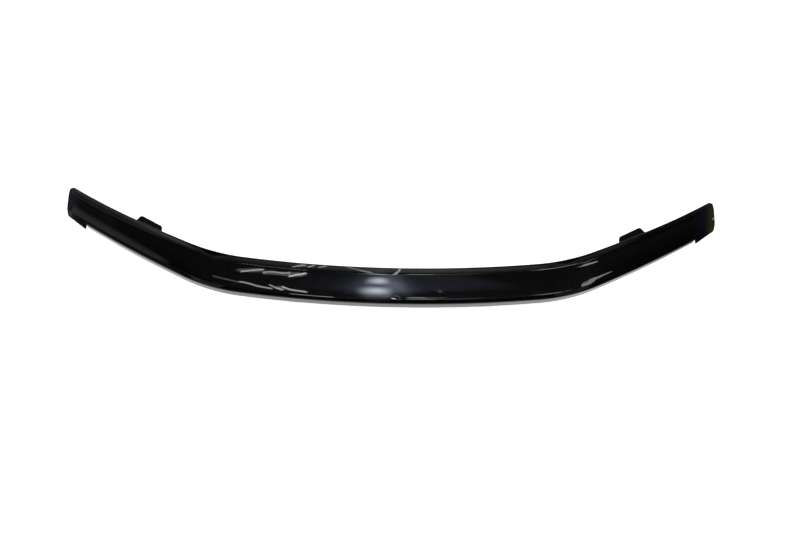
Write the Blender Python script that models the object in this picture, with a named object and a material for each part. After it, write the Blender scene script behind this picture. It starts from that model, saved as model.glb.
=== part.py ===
"""Hood bug deflector: a thermoformed acrylic shield carried on four steel strap brackets.

Units are metres. +X runs along the hood's front edge, -Y points ahead of the vehicle and +Z is up.
The nose line is where the shield's face turns under into its flange. The origin is the place of the
hood's front edge, in the channel behind the middle of the nose line and level with it.
Left and right are as seen from ahead of the vehicle, so left is -X.
"""

from math import asin, ceil, copysign, cos, pi, radians, sin, sqrt

import bmesh
import bpy
from mathutils import Matrix, Vector

# Plan of the nose line: three tangent arcs on each side of the centre plane
CENTRE_RADIUS = 2.442
CENTRE_LENGTH = 0.317
BEND_RADIUS = 0.363
BEND_LENGTH = 0.1336
WING_RADIUS = 2.676
WING_LENGTH = 0.309
NOSE_RISE = 0.10          # rise of the nose line for each metre that it runs back
HOOD_EDGE = 0.030         # nose line back to the hood's front edge, at the origin

# Section of the shield, seen along the nose line
SHEET = 0.003             # acrylic sheet
FACE_CENTRE = 0.0746      # nose line to top edge, at the centre
FACE_TIP = 0.0555         # nose line to top edge, where the taper ends
TAPER_START = 0.320       # runs along the nose line between which the face narrows
TAPER_END = 0.809
LEAN_CENTRE = radians(44.7)   # face's slope above level
LEAN_WING = radians(52.5)
SWING_LEAD = 0.034        # centre arc's end to where the face starts to stand up
SWING_LAG = 0.0204        # bend's end to where the face has stood up
UPPER_BAND = 0.0135       # lip above the upper crease, kicked up to throw the air over the hood
UPPER_KICK = radians(12)
LOWER_BAND = 0.0105       # band under the lower crease, which turns down to the nose
LOWER_KICK = radians(15)
CROWN_RADIUS = 0.235      # crown of the main face between the creases
CREASE = 0.003            # half-length of each crease's bend
NOSE_BEND = 0.0025        # half-length of the nose's bend
FLANGE = 0.0228           # nose line to the flange's lower edge
FLANGE_TUCK = radians(24.7)   # flange's lean back from plumb

# Flat tips beyond the flange
FLANGE_STOP = 0.0530      # flange's end to the tip's lower corner, along the nose line
NOTCH = 0.0025            # relief slot where the flange stops
SKIRT_INNER = 0.0105      # depth left below the nose line next to the slot
SKIRT_TIP = 0.004         # depth left below the nose line at the tip
TIP_RAKE = 0.46           # outward run of the tip's end for each metre up the face
TIP_CORNER = 0.010        # radius of the tip's top corner
TIP_HEEL = 0.004          # radius of the tip's lower corner
TIP_RIM = 0.014           # width of the rim that lifts along the tip's end
TIP_RISE = 0.0018         # how far the rim lifts

# Ears: tabs folded level from the flange's lower edge, which carry the brackets
EAR_BEND = 0.004          # half-length of the ear's bend
EAR_WIDTH = 0.028
EAR_REACH = 0.020         # level part of an ear
EAR_CHAMFER = 0.004

# Brackets, measured from their own station on the nose line
PLATE = 0.002             # steel strap
SIDE_SETBACK = 0.1731     # side bracket's middle, back from the tip's lower corner
SIDE_EAR_SPACING = 0.068
SIDE_OUTER = 0.0565       # straight outer side
SIDE_INNER_FRONT = 0.055  # inner side, next to the flange
SIDE_INNER_REAR = 0.0015  # inner side, at the tongue's end
SIDE_SHOULDER = 0.018     # level stretch of the inner side before it slants
SIDE_REACH = 0.109        # nose line to the tongue's end
CENTRE_STATION = 0.200    # centre bracket's middle, from the centre plane
CENTRE_FRONT = 0.052      # width next to the flange
CENTRE_REAR = 0.036       # width at the tongue's end
CENTRE_REACH = 0.085
PLATE_SETBACK = 0.0023    # ear's bend to the plate's front edge
PLATE_CORNER = 0.004
LIP_LENGTH = 0.005        # turned-down end of the tongue
LIP_SLOPE = radians(60)

# Fasteners
SCREW_RADIUS = 0.0025
HOLE_CLEARANCE = 0.0005
HEAD_RADIUS = 0.0048
HEAD_HEIGHT = 0.003
HEAD_FLAT = 0.0029        # radius of the flat on top of the pan head
HEAD_WALL = 0.00135       # straight side of the pan head
WASHER_RADIUS = 0.0062
WASHER_THICKNESS = 0.0012
NUT_FLATS = 0.008         # across flats
NUT_HEIGHT = 0.004
SCREW_PROUD = 0.0015      # screw beyond its nut
POINT_CHAMFER = 0.0008

# Hood clips: folded spring-steel clips that grip the hood's inner edge
CLIP_STEEL = 0.001
CLIP_WIDTH = 0.020
CLIP_LENGTH = 0.026
CLIP_MOUTH = 0.0035
CLIP_FLARE = 0.002
CLIP_SETBACK = 0.062      # nose line to the clip screw
SLOT_TRAVEL = 0.010       # fore and aft adjustment of the clip screw
SIDE_CLIP_OFFSET = 0.0275  # outward of the side bracket's middle

# Anti-chatter pads stuck behind the face
PAD_LENGTH = 0.030
PAD_WIDTH = 0.010
PAD_HEIGHT = 0.006
PAD_BEVEL = 0.0015
PAD_HEIGHT_UP_FACE = 0.72  # place between the lower crease (0) and the upper crease (1)
PAD_STATION = 0.075       # innermost pad, from the centre plane
PAD_BEFORE_BEND = 0.042   # second pad, back from the centre arc's end
PAD_PAST_BEND = 0.0544    # third pad, past the bend's end
PAD_SETBACK = 0.0996      # outermost pad, back from the tip's lower corner

GAP = 0.0003              # clearance between touching pieces
DRILL_REACH = 0.024       # how far a drill reaches to each side of its hole's plane
ROUND_SIDES = 12
CORNER_STEPS = 4

# Longest facet along the nose line in each plan arc
CENTRE_FACET = 0.050
BEND_FACET = 0.0195
WING_FACET = 0.046
TIP_GAPS = (0.014, 0.009, 0.005, 0.002, 0.0)   # columns of the tip, from its end
MAIN_FACETS = 5
NOSE_FACETS = 4
EAR_FACETS = 3
EDGE_STEPS = (0.0, 0.1, 0.4)   # rows of the upper band that carry the tip's round corner
SMOOTH_BELOW = radians(35)     # edges shallower than this are shaded smooth

BEND_END = CENTRE_LENGTH + BEND_LENGTH
TIP_RUN = BEND_END + WING_LENGTH
LEAN_START = CENTRE_LENGTH + SWING_LEAD
LEAN_END = BEND_END + SWING_LAG
FLANGE_END = TIP_RUN - FLANGE_STOP
SIDE_RUN = TIP_RUN - SIDE_SETBACK
HOLE_RADIUS = SCREW_RADIUS + HOLE_CLEARANCE
EAR_DROP = (FLANGE + EAR_BEND) * cos(FLANGE_TUCK)
EAR_ROOT = (FLANGE + EAR_BEND) * sin(FLANGE_TUCK) + EAR_BEND
EAR_HOLE = EAR_ROOT + EAR_REACH / 2
PLATE_FRONT = EAR_ROOT + PLATE_SETBACK
PLATE_UNDER = SHEET + GAP
PLATE_TOP = PLATE_UNDER + PLATE
EAR_RUNS = (CENTRE_STATION, SIDE_RUN - SIDE_EAR_SPACING / 2, SIDE_RUN + SIDE_EAR_SPACING / 2)
PAD_RUNS = (PAD_STATION, CENTRE_LENGTH - PAD_BEFORE_BEND, BEND_END + PAD_PAST_BEND, TIP_RUN - PAD_SETBACK)
SIDES = ((-1, "left"), (1, "right"))


def clear_scene():
    """Remove every object that the scene already holds."""
    for item in list(bpy.data.objects):
        bpy.data.objects.remove(item, do_unlink=True)


def finish(name, colour, roughness, metallic=0.0):
    """Make a plain Principled material."""
    material = bpy.data.materials.new(name)
    material.use_nodes = True
    shader = material.node_tree.nodes["Principled BSDF"]
    shader.inputs["Base Color"].default_value = (*colour, 1.0)
    shader.inputs["Roughness"].default_value = roughness
    shader.inputs["Metallic"].default_value = metallic
    return material


def add_object(name, mesh, material, parent=None, place=None):
    """Link a mesh as an object, under a parent and at a place in the parent's frame."""
    item = bpy.data.objects.new(name, mesh)
    if material is not None and not mesh.materials:
        mesh.materials.append(material)
    bpy.context.scene.collection.objects.link(item)
    item.parent = parent
    item.matrix_local = place if place is not None else Matrix.Identity(4)
    return item


def add_frame(name, matrix):
    """Make an empty that carries one bracket's pieces."""
    empty = bpy.data.objects.new(name, None)
    empty.empty_display_size = 0.02
    bpy.context.scene.collection.objects.link(empty)
    empty.matrix_world = matrix
    return empty


def mesh_from(bm, name):
    """Turn a bmesh into a mesh that is smooth across its shallow edges."""
    mesh = bpy.data.meshes.new(name)
    bm.to_mesh(mesh)
    bm.free()
    mesh.shade_smooth()
    mesh.set_sharp_from_angle(angle=SMOOTH_BELOW)
    return mesh


def thicken(item, thickness):
    """Give a sheet its thickness behind the modelled side."""
    modifier = item.modifiers.new("thickness", "SOLIDIFY")
    modifier.thickness = thickness
    modifier.offset = -1.0
    modifier.use_even_offset = True
    modifier.use_quality_normals = True


def cut(item, cutter):
    """Cut a hidden tool's shape out of an object."""
    cutter.hide_render = True
    cutter.display_type = "WIRE"
    modifier = item.modifiers.new("holes", "BOOLEAN")
    modifier.operation = "DIFFERENCE"
    modifier.solver = "EXACT"
    modifier.object = cutter


def lerp(start, end, share):
    """Value at a share of the way from start to end."""
    return start + (end - start) * share


def ease(value, start, end):
    """Smooth step from 0 at start to 1 at end."""
    share = min(max((value - start) / (end - start), 0.0), 1.0)
    return share * share * (3.0 - 2.0 * share)


def ray(length, angle):
    """Vector in the section plane, as (back, up)."""
    return Vector((length * cos(angle), length * sin(angle)))


def bend(start, corner, end, steps):
    """Points of a bend from start to end, tangent to the lines that meet at the corner."""
    points = []
    for step in range(steps + 1):
        share = step / steps
        points.append(start.lerp(corner, share).lerp(corner.lerp(end, share), share))
    return points


def nose(run):
    """Point and plan heading of the nose line, at a signed run from the centre plane."""
    left, x, y, heading = abs(run), 0.0, 0.0, 0.0
    arcs = ((CENTRE_RADIUS, CENTRE_LENGTH), (BEND_RADIUS, BEND_LENGTH), (WING_RADIUS, left))
    for radius, length in arcs:
        step = min(left, length)
        turned = heading + step / radius
        x += radius * (sin(turned) - sin(heading))
        y += radius * (cos(heading) - cos(turned))
        heading = turned
        left -= step
    side = copysign(1.0, run)
    return Vector((side * x, y - HOOD_EDGE, NOSE_RISE * y)), side * heading


def from_nose(run, offset):
    """World point at a (back, up) offset in the section plane at a run."""
    point, heading = nose(run)
    return point + Vector((-sin(heading) * offset.x, cos(heading) * offset.x, offset.y))


def face_lean(run):
    """Slope of the face above level at a run."""
    return lerp(LEAN_CENTRE, LEAN_WING, ease(abs(run), LEAN_START, LEAN_END))


def face_depth(run):
    """Depth of the face from the nose line to its top edge at a run."""
    return lerp(FACE_CENTRE, FACE_TIP, ease(abs(run), TAPER_START, TAPER_END))


def creases(run):
    """Sharp upper and lower crease points of the section, as (back, up)."""
    lean = face_lean(run)
    upper = ray(face_depth(run), lean) - ray(UPPER_BAND, lean + UPPER_KICK)
    lower = ray(LOWER_BAND, lean + LOWER_KICK)
    return upper, lower


def main_face(run, share):
    """Point and outward normal on the crowned main face, from lower crease 0 to upper crease 1."""
    upper, lower = creases(run)
    chord = upper - lower
    half_angle = asin(min(chord.length / (2 * CROWN_RADIUS), 1.0))
    outward = Vector((-chord.y, chord.x)).normalized()
    centre = (upper + lower) / 2 - outward * CROWN_RADIUS * cos(half_angle)
    turn = lerp(half_angle, -half_angle, share)
    normal = outward * cos(turn) - chord.normalized() * sin(turn)
    return centre + normal * CROWN_RADIUS, normal


def section(run, folded):
    """Outer skin of the section from the top edge down to the ear's end, as (back, up) points."""
    lean = face_lean(run)
    top = ray(face_depth(run), lean)
    upper, lower = creases(run)
    main = (upper - lower).length
    ease_in = CREASE / main
    below_upper, _ = main_face(run, 1.0 - ease_in)
    above_lower, _ = main_face(run, ease_in)
    above_upper = upper + ray(CREASE, lean + UPPER_KICK)
    below_lower = lower - ray(CREASE, lean + LOWER_KICK)

    points = [top.lerp(above_upper, step) for step in EDGE_STEPS]
    points += bend(above_upper, upper, below_upper, 2)
    for step in range(1, MAIN_FACETS):
        point, _ = main_face(run, lerp(1.0 - ease_in, ease_in, step / MAIN_FACETS))
        points.append(point)
    points += bend(above_lower, lower, below_lower, 2)

    band = ray(1.0, lean + LOWER_KICK)
    if folded:
        down, depth = Vector((sin(FLANGE_TUCK), -cos(FLANGE_TUCK))), FLANGE
    else:
        share = min(max((abs(run) - FLANGE_END) / FLANGE_STOP, 0.0), 1.0)
        down, depth = -band, lerp(SKIRT_INNER, SKIRT_TIP, share)
    nose_corner = Vector((0.0, 0.0))
    points += bend(nose_corner + band * NOSE_BEND, nose_corner, down * NOSE_BEND, NOSE_FACETS)
    flange_edge = down * depth
    points.append(flange_edge)

    level = Vector((1.0, 0.0))
    ear_corner = flange_edge + down * EAR_BEND
    points += bend(flange_edge, ear_corner, ear_corner + level * EAR_BEND, EAR_FACETS)[1:]
    points.append(ear_corner + level * (EAR_BEND + EAR_REACH - EAR_CHAMFER))
    points.append(ear_corner + level * (EAR_BEND + EAR_REACH))
    return points


FACE_ROWS = len(EDGE_STEPS) + 3 + (MAIN_FACETS - 1) + 3
FLANGE_ROW = FACE_ROWS + NOSE_FACETS + 1
LAST_ROW = FLANGE_ROW + EAR_FACETS + 2


def tip_end(row):
    """Run at which a row of the skin ends at the tip, with the tip's two round corners."""
    point = section(TIP_RUN, False)[row]
    height = point.dot(ray(1.0, face_lean(TIP_RUN)))
    end = TIP_RUN + TIP_RAKE * height
    for radius, depth in ((TIP_CORNER, face_depth(TIP_RUN) - height), (TIP_HEEL, height + SKIRT_TIP)):
        inset = min(max(radius - depth, 0.0), radius)
        end -= radius - sqrt(radius * radius - inset * inset)
    return end


def spread(start, end, facet):
    """Even steps from start to end, none longer than a facet; the start is left out."""
    count = max(1, ceil((end - start) / facet))
    return [lerp(start, end, step / count) for step in range(1, count + 1)]


def columns():
    """Runs of the skin's columns on one side, from the centre plane to the relief slot's outer side."""
    marks = [0.0, CENTRE_LENGTH, BEND_END, FLANGE_END, FLANGE_END + NOTCH]
    for ear in EAR_RUNS:
        marks += [ear - EAR_WIDTH / 2, ear, ear + EAR_WIDTH / 2]
    marks.sort()
    runs = [0.0]
    for start, end in zip(marks, marks[1:]):
        middle = (start + end) / 2
        facet = WING_FACET
        if middle < CENTRE_LENGTH:
            facet = CENTRE_FACET
        elif middle < BEND_END:
            facet = BEND_FACET
        runs += spread(start, end, facet)
    return runs


def ear_at(run):
    """Run of the ear that covers a column or cell, or None."""
    for ear in EAR_RUNS:
        if abs(abs(run) - ear) < EAR_WIDTH / 2 + GAP:
            return ear
    return None


def skin_point(side, column, row):
    """World point of the skin; a column is a run, or a pair (run, distance from the tip's end)."""
    if isinstance(column, tuple):
        start, gap = column
        reach = tip_end(row) - start
        run = start + reach * (1.0 - gap / (TIP_RUN - start))
        lift = TIP_RISE * (1.0 - gap / TIP_RIM) ** 2
        offset = section(run, False)[row]
        offset += Vector((-sin(face_lean(run)), cos(face_lean(run)))) * lift
        return from_nose(side * run, offset)
    run = column
    folded = run < FLANGE_END + NOTCH / 2
    offset = section(run, folded)[row]
    ear = ear_at(run)
    if row == LAST_ROW and ear is not None and abs(run - ear) > EAR_CHAMFER:
        run -= copysign(EAR_CHAMFER, run - ear)
    return from_nose(side * run, offset)


def skin_cell_exists(start, end, row):
    """Whether the sheet covers the cell between two columns below a row."""
    if isinstance(end, tuple):
        return row < FLANGE_ROW
    middle = (start + end) / 2
    if row >= FLANGE_ROW:
        return ear_at(middle) is not None
    if middle > FLANGE_END:
        return row < FACE_ROWS
    return True


def build_shield(material):
    """The thermoformed acrylic shield, with its flange, flat tips and pierced ears."""
    runs = columns()
    half = runs + [(runs[-1], gap) for gap in TIP_GAPS]
    signed = [(-1, column) for column in reversed(half[1:])] + [(1, column) for column in half]
    bm = bmesh.new()
    grid = [[bm.verts.new(skin_point(side, column, row)) for row in range(LAST_ROW + 1)]
            for side, column in signed]
    for place, ((_, first), (_, second)) in enumerate(zip(signed, signed[1:])):
        inner, outer = (second, first) if signed[place][0] < 0 else (first, second)
        for row in range(LAST_ROW):
            if skin_cell_exists(inner, outer, row):
                near, far = grid[place], grid[place + 1]
                bm.faces.new((near[row], near[row + 1], far[row + 1], far[row]))
    loose = [vert for vert in bm.verts if not vert.link_faces]
    bmesh.ops.delete(bm, geom=loose, context="VERTS")
    shield = add_object("shield", mesh_from(bm, "shield"), material)
    thicken(shield, SHEET)

    bm = bmesh.new()
    for side, _ in SIDES:
        for run in EAR_RUNS:
            drill(bm, bracket_matrix(side * station_of(run)), ear_offset(side, run), EAR_HOLE)
    cut(shield, add_object("shield_hole_tools", mesh_from(bm, "shield_hole_tools"), None))
    return shield


def station_of(run):
    """Run of the bracket that an ear carries."""
    return CENTRE_STATION if run == CENTRE_STATION else SIDE_RUN


def ear_offset(side, run):
    """Place of an ear along its bracket's own X."""
    return side * (run - station_of(run))


def bracket_matrix(run):
    """A bracket's own frame: X along the nose line, Y level and back, Z off the ears' underside."""
    point, heading = nose(run)
    along = Vector((cos(heading), sin(heading), NOSE_RISE * sin(heading))).normalized()
    back = Vector((-sin(heading), cos(heading), 0.0))
    rotation = Matrix((along, back, along.cross(back))).transposed().to_4x4()
    return Matrix.Translation(point - Vector((0.0, 0.0, EAR_DROP))) @ rotation


def drill(bm, matrix, x, y, travel=0.0):
    """Add a drill, or a slot mill that travels along Y, to a cutting tool."""
    outline = []
    for step in range(ROUND_SIDES + 1):
        angle = 2 * pi * step / ROUND_SIDES
        shift = travel / 2 if step <= ROUND_SIDES / 2 else -travel / 2
        outline.append((HOLE_RADIUS * cos(angle), HOLE_RADIUS * sin(angle) + shift))
        if step == ROUND_SIDES / 2 and travel:
            outline.append((HOLE_RADIUS * cos(angle), HOLE_RADIUS * sin(angle) - travel / 2))
    if not travel:
        outline.pop()
    rings = []
    for z in (-DRILL_REACH, DRILL_REACH):
        rings.append([bm.verts.new(matrix @ Vector((x + u, y + v, z))) for u, v in outline])
    low, high = rings
    bm.faces.new(reversed(low))
    bm.faces.new(high)
    for here in range(len(low)):
        after = (here + 1) % len(low)
        bm.faces.new((low[here], low[after], high[after], high[here]))


def rounded(corners, radius):
    """Outline through round corners, each made by a bend tangent to its two sides."""
    outline = []
    for place, corner in enumerate(corners):
        before, after = corners[place - 1], corners[(place + 1) % len(corners)]
        start = corner + (before - corner).normalized() * radius
        end = corner + (after - corner).normalized() * radius
        outline += bend(start, corner, end, CORNER_STEPS)
    return outline


def plate_mesh(name, corners):
    """A flat strap at the plate's top, with its rear end, between corners 2 and 3, turned down."""
    bm = bmesh.new()
    outline = [bm.verts.new((point.x, point.y, PLATE_TOP)) for point in rounded(corners, PLATE_CORNER)]
    face = bm.faces.new(outline)
    face.normal_update()
    if face.normal.z < 0:
        face.normal_flip()
    per_corner = CORNER_STEPS + 1
    first, second = outline[3 * per_corner - 1], outline[3 * per_corner]
    drop = Vector((0.0, LIP_LENGTH * cos(LIP_SLOPE), -LIP_LENGTH * sin(LIP_SLOPE)))
    low_first, low_second = bm.verts.new(first.co + drop), bm.verts.new(second.co + drop)
    lip = bm.faces.new((first, low_first, low_second, second))
    lip.normal_update()
    if lip.normal.y < 0:
        lip.normal_flip()
    return mesh_from(bm, name)


def side_corners(side):
    """Corners of a side bracket, from the front inner one round by the outer side."""
    corners = [(-SIDE_INNER_FRONT, PLATE_FRONT), (SIDE_OUTER, PLATE_FRONT), (SIDE_OUTER, SIDE_REACH),
               (-SIDE_INNER_REAR, SIDE_REACH), (-SIDE_INNER_FRONT, PLATE_FRONT + SIDE_SHOULDER)]
    return [Vector((side * x, y)) for x, y in corners]


def centre_corners():
    """Corners of a centre bracket, in the same order."""
    front, rear = CENTRE_FRONT / 2, CENTRE_REAR / 2
    corners = [(-front, PLATE_FRONT), (front, PLATE_FRONT), (rear, CENTRE_REACH), (-rear, CENTRE_REACH)]
    return [Vector(corner) for corner in corners]


def build_plate(name, frame, corners, holes, slot, material):
    """A bracket: a painted steel strap, drilled for its ears and slotted for its hood clip."""
    plate = add_object(name, plate_mesh(name, corners), material, frame)
    thicken(plate, PLATE)
    bm = bmesh.new()
    for x, y in holes:
        drill(bm, Matrix.Identity(4), x, y)
    drill(bm, Matrix.Identity(4), *slot, travel=SLOT_TRAVEL)
    tool_name = name + "_hole_tools"
    cut(plate, add_object(tool_name, mesh_from(bm, tool_name), None, frame))
    return plate


def screw_mesh(name, length):
    """A pan-head screw that points up from its head's bearing face at z = 0."""
    profile = [(0.0, -HEAD_HEIGHT), (HEAD_FLAT, -HEAD_HEIGHT), (HEAD_RADIUS, -HEAD_WALL),
               (HEAD_RADIUS, 0.0), (SCREW_RADIUS, 0.0), (SCREW_RADIUS, length - POINT_CHAMFER),
               (SCREW_RADIUS - POINT_CHAMFER, length), (0.0, length)]
    bm = bmesh.new()
    verts = [bm.verts.new((radius, 0.0, z)) for radius, z in profile]
    edges = [bm.edges.new(pair) for pair in zip(verts, verts[1:])]
    bmesh.ops.spin(bm, geom=verts + edges, cent=(0, 0, 0), axis=(0, 0, 1), angle=2 * pi,
                   steps=ROUND_SIDES, use_merge=True)
    bmesh.ops.remove_doubles(bm, verts=bm.verts, dist=1e-6)
    bmesh.ops.recalc_face_normals(bm, faces=bm.faces)
    return mesh_from(bm, name)


def ring_mesh(name, outer_radii, height):
    """A washer or nut from z = 0 up, whose outer radii repeat round its sides."""
    bm = bmesh.new()
    loops = []
    for z in (0.0, height):
        for radii in (outer_radii, (HOLE_RADIUS,)):
            loop = []
            for side in range(ROUND_SIDES):
                angle = 2 * pi * side / ROUND_SIDES
                radius = radii[side % len(radii)]
                loop.append(bm.verts.new((radius * cos(angle), radius * sin(angle), z)))
            loops.append(loop)
    low_out, low_in, high_out, high_in = loops
    for here in range(ROUND_SIDES):
        after = (here + 1) % ROUND_SIDES
        for first, second in ((low_out, high_out), (high_out, high_in), (high_in, low_in), (low_in, low_out)):
            bm.faces.new((first[here], first[after], second[after], second[here]))
    bmesh.ops.recalc_face_normals(bm, faces=bm.faces)
    return mesh_from(bm, name)


def clip_mesh():
    """Hood clip: a spring-steel strip folded at its front, its mouth open to the rear."""
    front, rear = -CLIP_LENGTH / 2, CLIP_LENGTH / 2
    low, high = CLIP_STEEL, CLIP_STEEL + CLIP_MOUTH
    radius = CLIP_MOUTH / 2
    path = [(rear, low), (0.0, low)]
    for step in range(CORNER_STEPS * 2 + 1):
        angle = -pi / 2 - pi * step / (CORNER_STEPS * 2)
        path.append((front + radius + radius * cos(angle), low + radius + radius * sin(angle)))
    path += [(0.0, high), (rear - CLIP_FLARE, high), (rear, high + CLIP_FLARE)]
    bm = bmesh.new()
    rows = [[bm.verts.new((x, y, z)) for x in (-CLIP_WIDTH / 2, CLIP_WIDTH / 2)] for y, z in path]
    for (near_left, near_right), (far_left, far_right) in zip(rows, rows[1:]):
        bm.faces.new((near_left, far_left, far_right, near_right))
    return mesh_from(bm, "hood_clip")


def pad_mesh():
    """Anti-chatter pad: a soft block with chamfered edges, its stuck face at z = 0."""
    bm = bmesh.new()
    size = Matrix.Diagonal((PAD_LENGTH, PAD_WIDTH, PAD_HEIGHT, 1.0))
    bmesh.ops.create_cube(bm, size=1.0, matrix=Matrix.Translation((0, 0, PAD_HEIGHT / 2)) @ size)
    edges = [edge for edge in bm.edges if sum(vert.co.z for vert in edge.verts) > PAD_HEIGHT / 2]
    bmesh.ops.bevel(bm, geom=edges, offset=PAD_BEVEL, segments=1, affect="EDGES")
    return mesh_from(bm, "anti_chatter_pad")


def pad_matrix(side, run):
    """A pad's frame on the face's inner side: X along the shield, Z away from the sheet."""
    offset, normal = main_face(run, PAD_HEIGHT_UP_FACE)
    _, heading = nose(side * run)
    seat = from_nose(side * run, offset)
    along = Vector((cos(heading), sin(heading), NOSE_RISE * sin(heading))).normalized()
    up_face = Vector((-sin(heading) * normal.y, cos(heading) * normal.y, -normal.x))
    inward = up_face.cross(along).normalized()
    rotation = Matrix((along, inward.cross(along), inward)).transposed().to_4x4()
    return Matrix.Translation(seat + inward * (SHEET + GAP)) @ rotation


def at(x, y, z):
    """Place in a bracket's own frame."""
    return Matrix.Translation((x, y, z))


def build_shield_fastener(prefix, suffix, frame, x, meshes, finishes):
    """Screw from below, soft washer under its head, and nut on the strap, through one ear."""
    washer_z = -GAP - WASHER_THICKNESS
    add_object(prefix + "_shield_washer" + suffix, meshes["washer"], finishes["rubber"], frame,
               at(x, EAR_HOLE, washer_z))
    add_object(prefix + "_shield_screw" + suffix, meshes["shield_screw"], finishes["zinc"], frame,
               at(x, EAR_HOLE, washer_z - GAP))
    add_object(prefix + "_shield_nut" + suffix, meshes["nut"], finishes["zinc"], frame,
               at(x, EAR_HOLE, PLATE_TOP + GAP))


def build_hood_clip(prefix, frame, x, meshes, finishes):
    """Folded clip on top of the strap, with its screw and washer from below through the slot."""
    washer_z = PLATE_UNDER - GAP - WASHER_THICKNESS
    seat = at(x, CLIP_SETBACK, PLATE_TOP + GAP)
    clip = add_object(prefix + "_hood_clip", meshes["clip"], finishes["spring_steel"], frame, seat)
    thicken(clip, CLIP_STEEL)
    bm = bmesh.new()
    drill(bm, Matrix.Identity(4), x, CLIP_SETBACK)
    tool_name = prefix + "_hood_clip_hole_tool"
    cut(clip, add_object(tool_name, mesh_from(bm, tool_name), None, frame))
    add_object(prefix + "_clip_washer", meshes["washer"], finishes["rubber"], frame,
               at(x, CLIP_SETBACK, washer_z))
    add_object(prefix + "_clip_screw", meshes["clip_screw"], finishes["zinc"], frame,
               at(x, CLIP_SETBACK, washer_z - GAP))


def build_side_bracket(side, label, meshes, finishes):
    """Broad bracket near a tip, on two ears; its tongue shows above the shield's top edge."""
    prefix = label + "_side"
    frame = add_frame(prefix + "_frame", bracket_matrix(side * SIDE_RUN))
    spots = [(suffix, side * reach * SIDE_EAR_SPACING / 2)
             for suffix, reach in (("_inner", -1), ("_outer", 1))]
    clip_x = side * SIDE_CLIP_OFFSET
    holes = [(x, EAR_HOLE) for _, x in spots]
    build_plate(prefix + "_bracket", frame, side_corners(side), holes, (clip_x, CLIP_SETBACK),
                finishes["strap"])
    for suffix, x in spots:
        build_shield_fastener(prefix, suffix, frame, x, meshes, finishes)
    build_hood_clip(prefix, frame, clip_x, meshes, finishes)


def build_centre_bracket(side, label, meshes, finishes):
    """Short bracket on one ear, hidden behind the middle of the face."""
    prefix = label + "_centre"
    frame = add_frame(prefix + "_frame", bracket_matrix(side * CENTRE_STATION))
    build_plate(prefix + "_bracket", frame, centre_corners(), [(0.0, EAR_HOLE)], (0.0, CLIP_SETBACK),
                finishes["strap"])
    build_shield_fastener(prefix, "", frame, 0.0, meshes, finishes)
    build_hood_clip(prefix, frame, 0.0, meshes, finishes)


def shared_meshes():
    """Meshes of the pieces that repeat."""
    stack = 2 * GAP + WASHER_THICKNESS
    clip_height = 2 * CLIP_STEEL + CLIP_MOUTH
    nut_corner = NUT_FLATS / 2 / cos(pi / 6)
    return {
        "washer": ring_mesh("soft_washer", (WASHER_RADIUS,), WASHER_THICKNESS),
        "nut": ring_mesh("hex_nut", (nut_corner, NUT_FLATS / 2), NUT_HEIGHT),
        "shield_screw": screw_mesh("shield_screw", stack + PLATE_TOP + GAP + NUT_HEIGHT + SCREW_PROUD),
        "clip_screw": screw_mesh("clip_screw", stack + PLATE + GAP + clip_height + SCREW_PROUD),
        "clip": clip_mesh(),
        "pad": pad_mesh(),
    }


def make_finishes():
    """Plain materials of the pieces."""
    return {
        "acrylic": finish("gloss_black_acrylic", (0.006, 0.006, 0.007), 0.05),
        "strap": finish("black_painted_steel", (0.014, 0.013, 0.013), 0.55),
        "zinc": finish("zinc_plated_steel", (0.56, 0.55, 0.52), 0.35, 1.0),
        "spring_steel": finish("phosphated_spring_steel", (0.05, 0.05, 0.05), 0.45, 1.0),
        "rubber": finish("black_rubber", (0.02, 0.02, 0.02), 0.8),
        "foam_rubber": finish("foam_rubber", (0.03, 0.03, 0.03), 0.95),
    }


def main():
    """Build the shield, its four brackets with their fasteners and clips, and its pads."""
    clear_scene()
    finishes = make_finishes()
    meshes = shared_meshes()
    build_shield(finishes["acrylic"])
    for side, label in SIDES:
        build_side_bracket(side, label, meshes, finishes)
        build_centre_bracket(side, label, meshes, finishes)
        for number, run in enumerate(PAD_RUNS, start=1):
            add_object(f"{label}_pad_{number}", meshes["pad"], finishes["foam_rubber"], None,
                       pad_matrix(side, run))


main()
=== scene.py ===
"""Looks for a hood bug deflector: a gloss black acrylic shield on painted steel brackets.

Sizes are in metres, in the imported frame: +X runs along the hood's front edge, -Y points ahead of the
vehicle and +Z is up. Left and right are as seen from ahead, so left is -X.
"""

import logging
from collections.abc import Callable, Mapping, Sequence
from dataclasses import dataclass, field
from enum import Enum
from functools import partial
from math import asin, ceil, copysign, cos, pi, radians, sin, sqrt, tau
from typing import Any

import bmesh
import bpy
from mathutils import Matrix, Vector


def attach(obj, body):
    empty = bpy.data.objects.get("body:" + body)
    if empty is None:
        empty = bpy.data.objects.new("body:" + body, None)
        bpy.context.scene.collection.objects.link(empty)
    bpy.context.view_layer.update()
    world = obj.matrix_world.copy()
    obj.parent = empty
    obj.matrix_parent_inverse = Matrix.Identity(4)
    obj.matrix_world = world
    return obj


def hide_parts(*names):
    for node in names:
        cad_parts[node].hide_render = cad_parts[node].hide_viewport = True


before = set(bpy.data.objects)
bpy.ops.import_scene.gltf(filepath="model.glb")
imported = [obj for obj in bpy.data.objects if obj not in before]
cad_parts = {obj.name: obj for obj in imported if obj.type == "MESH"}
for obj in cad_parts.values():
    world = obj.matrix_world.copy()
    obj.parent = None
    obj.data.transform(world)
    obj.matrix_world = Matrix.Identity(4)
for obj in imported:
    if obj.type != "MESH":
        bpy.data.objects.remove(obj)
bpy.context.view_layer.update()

BODY = "root"
LOG = logging.getLogger("bug_deflector")
SMOOTH_BELOW = radians(32)

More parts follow.
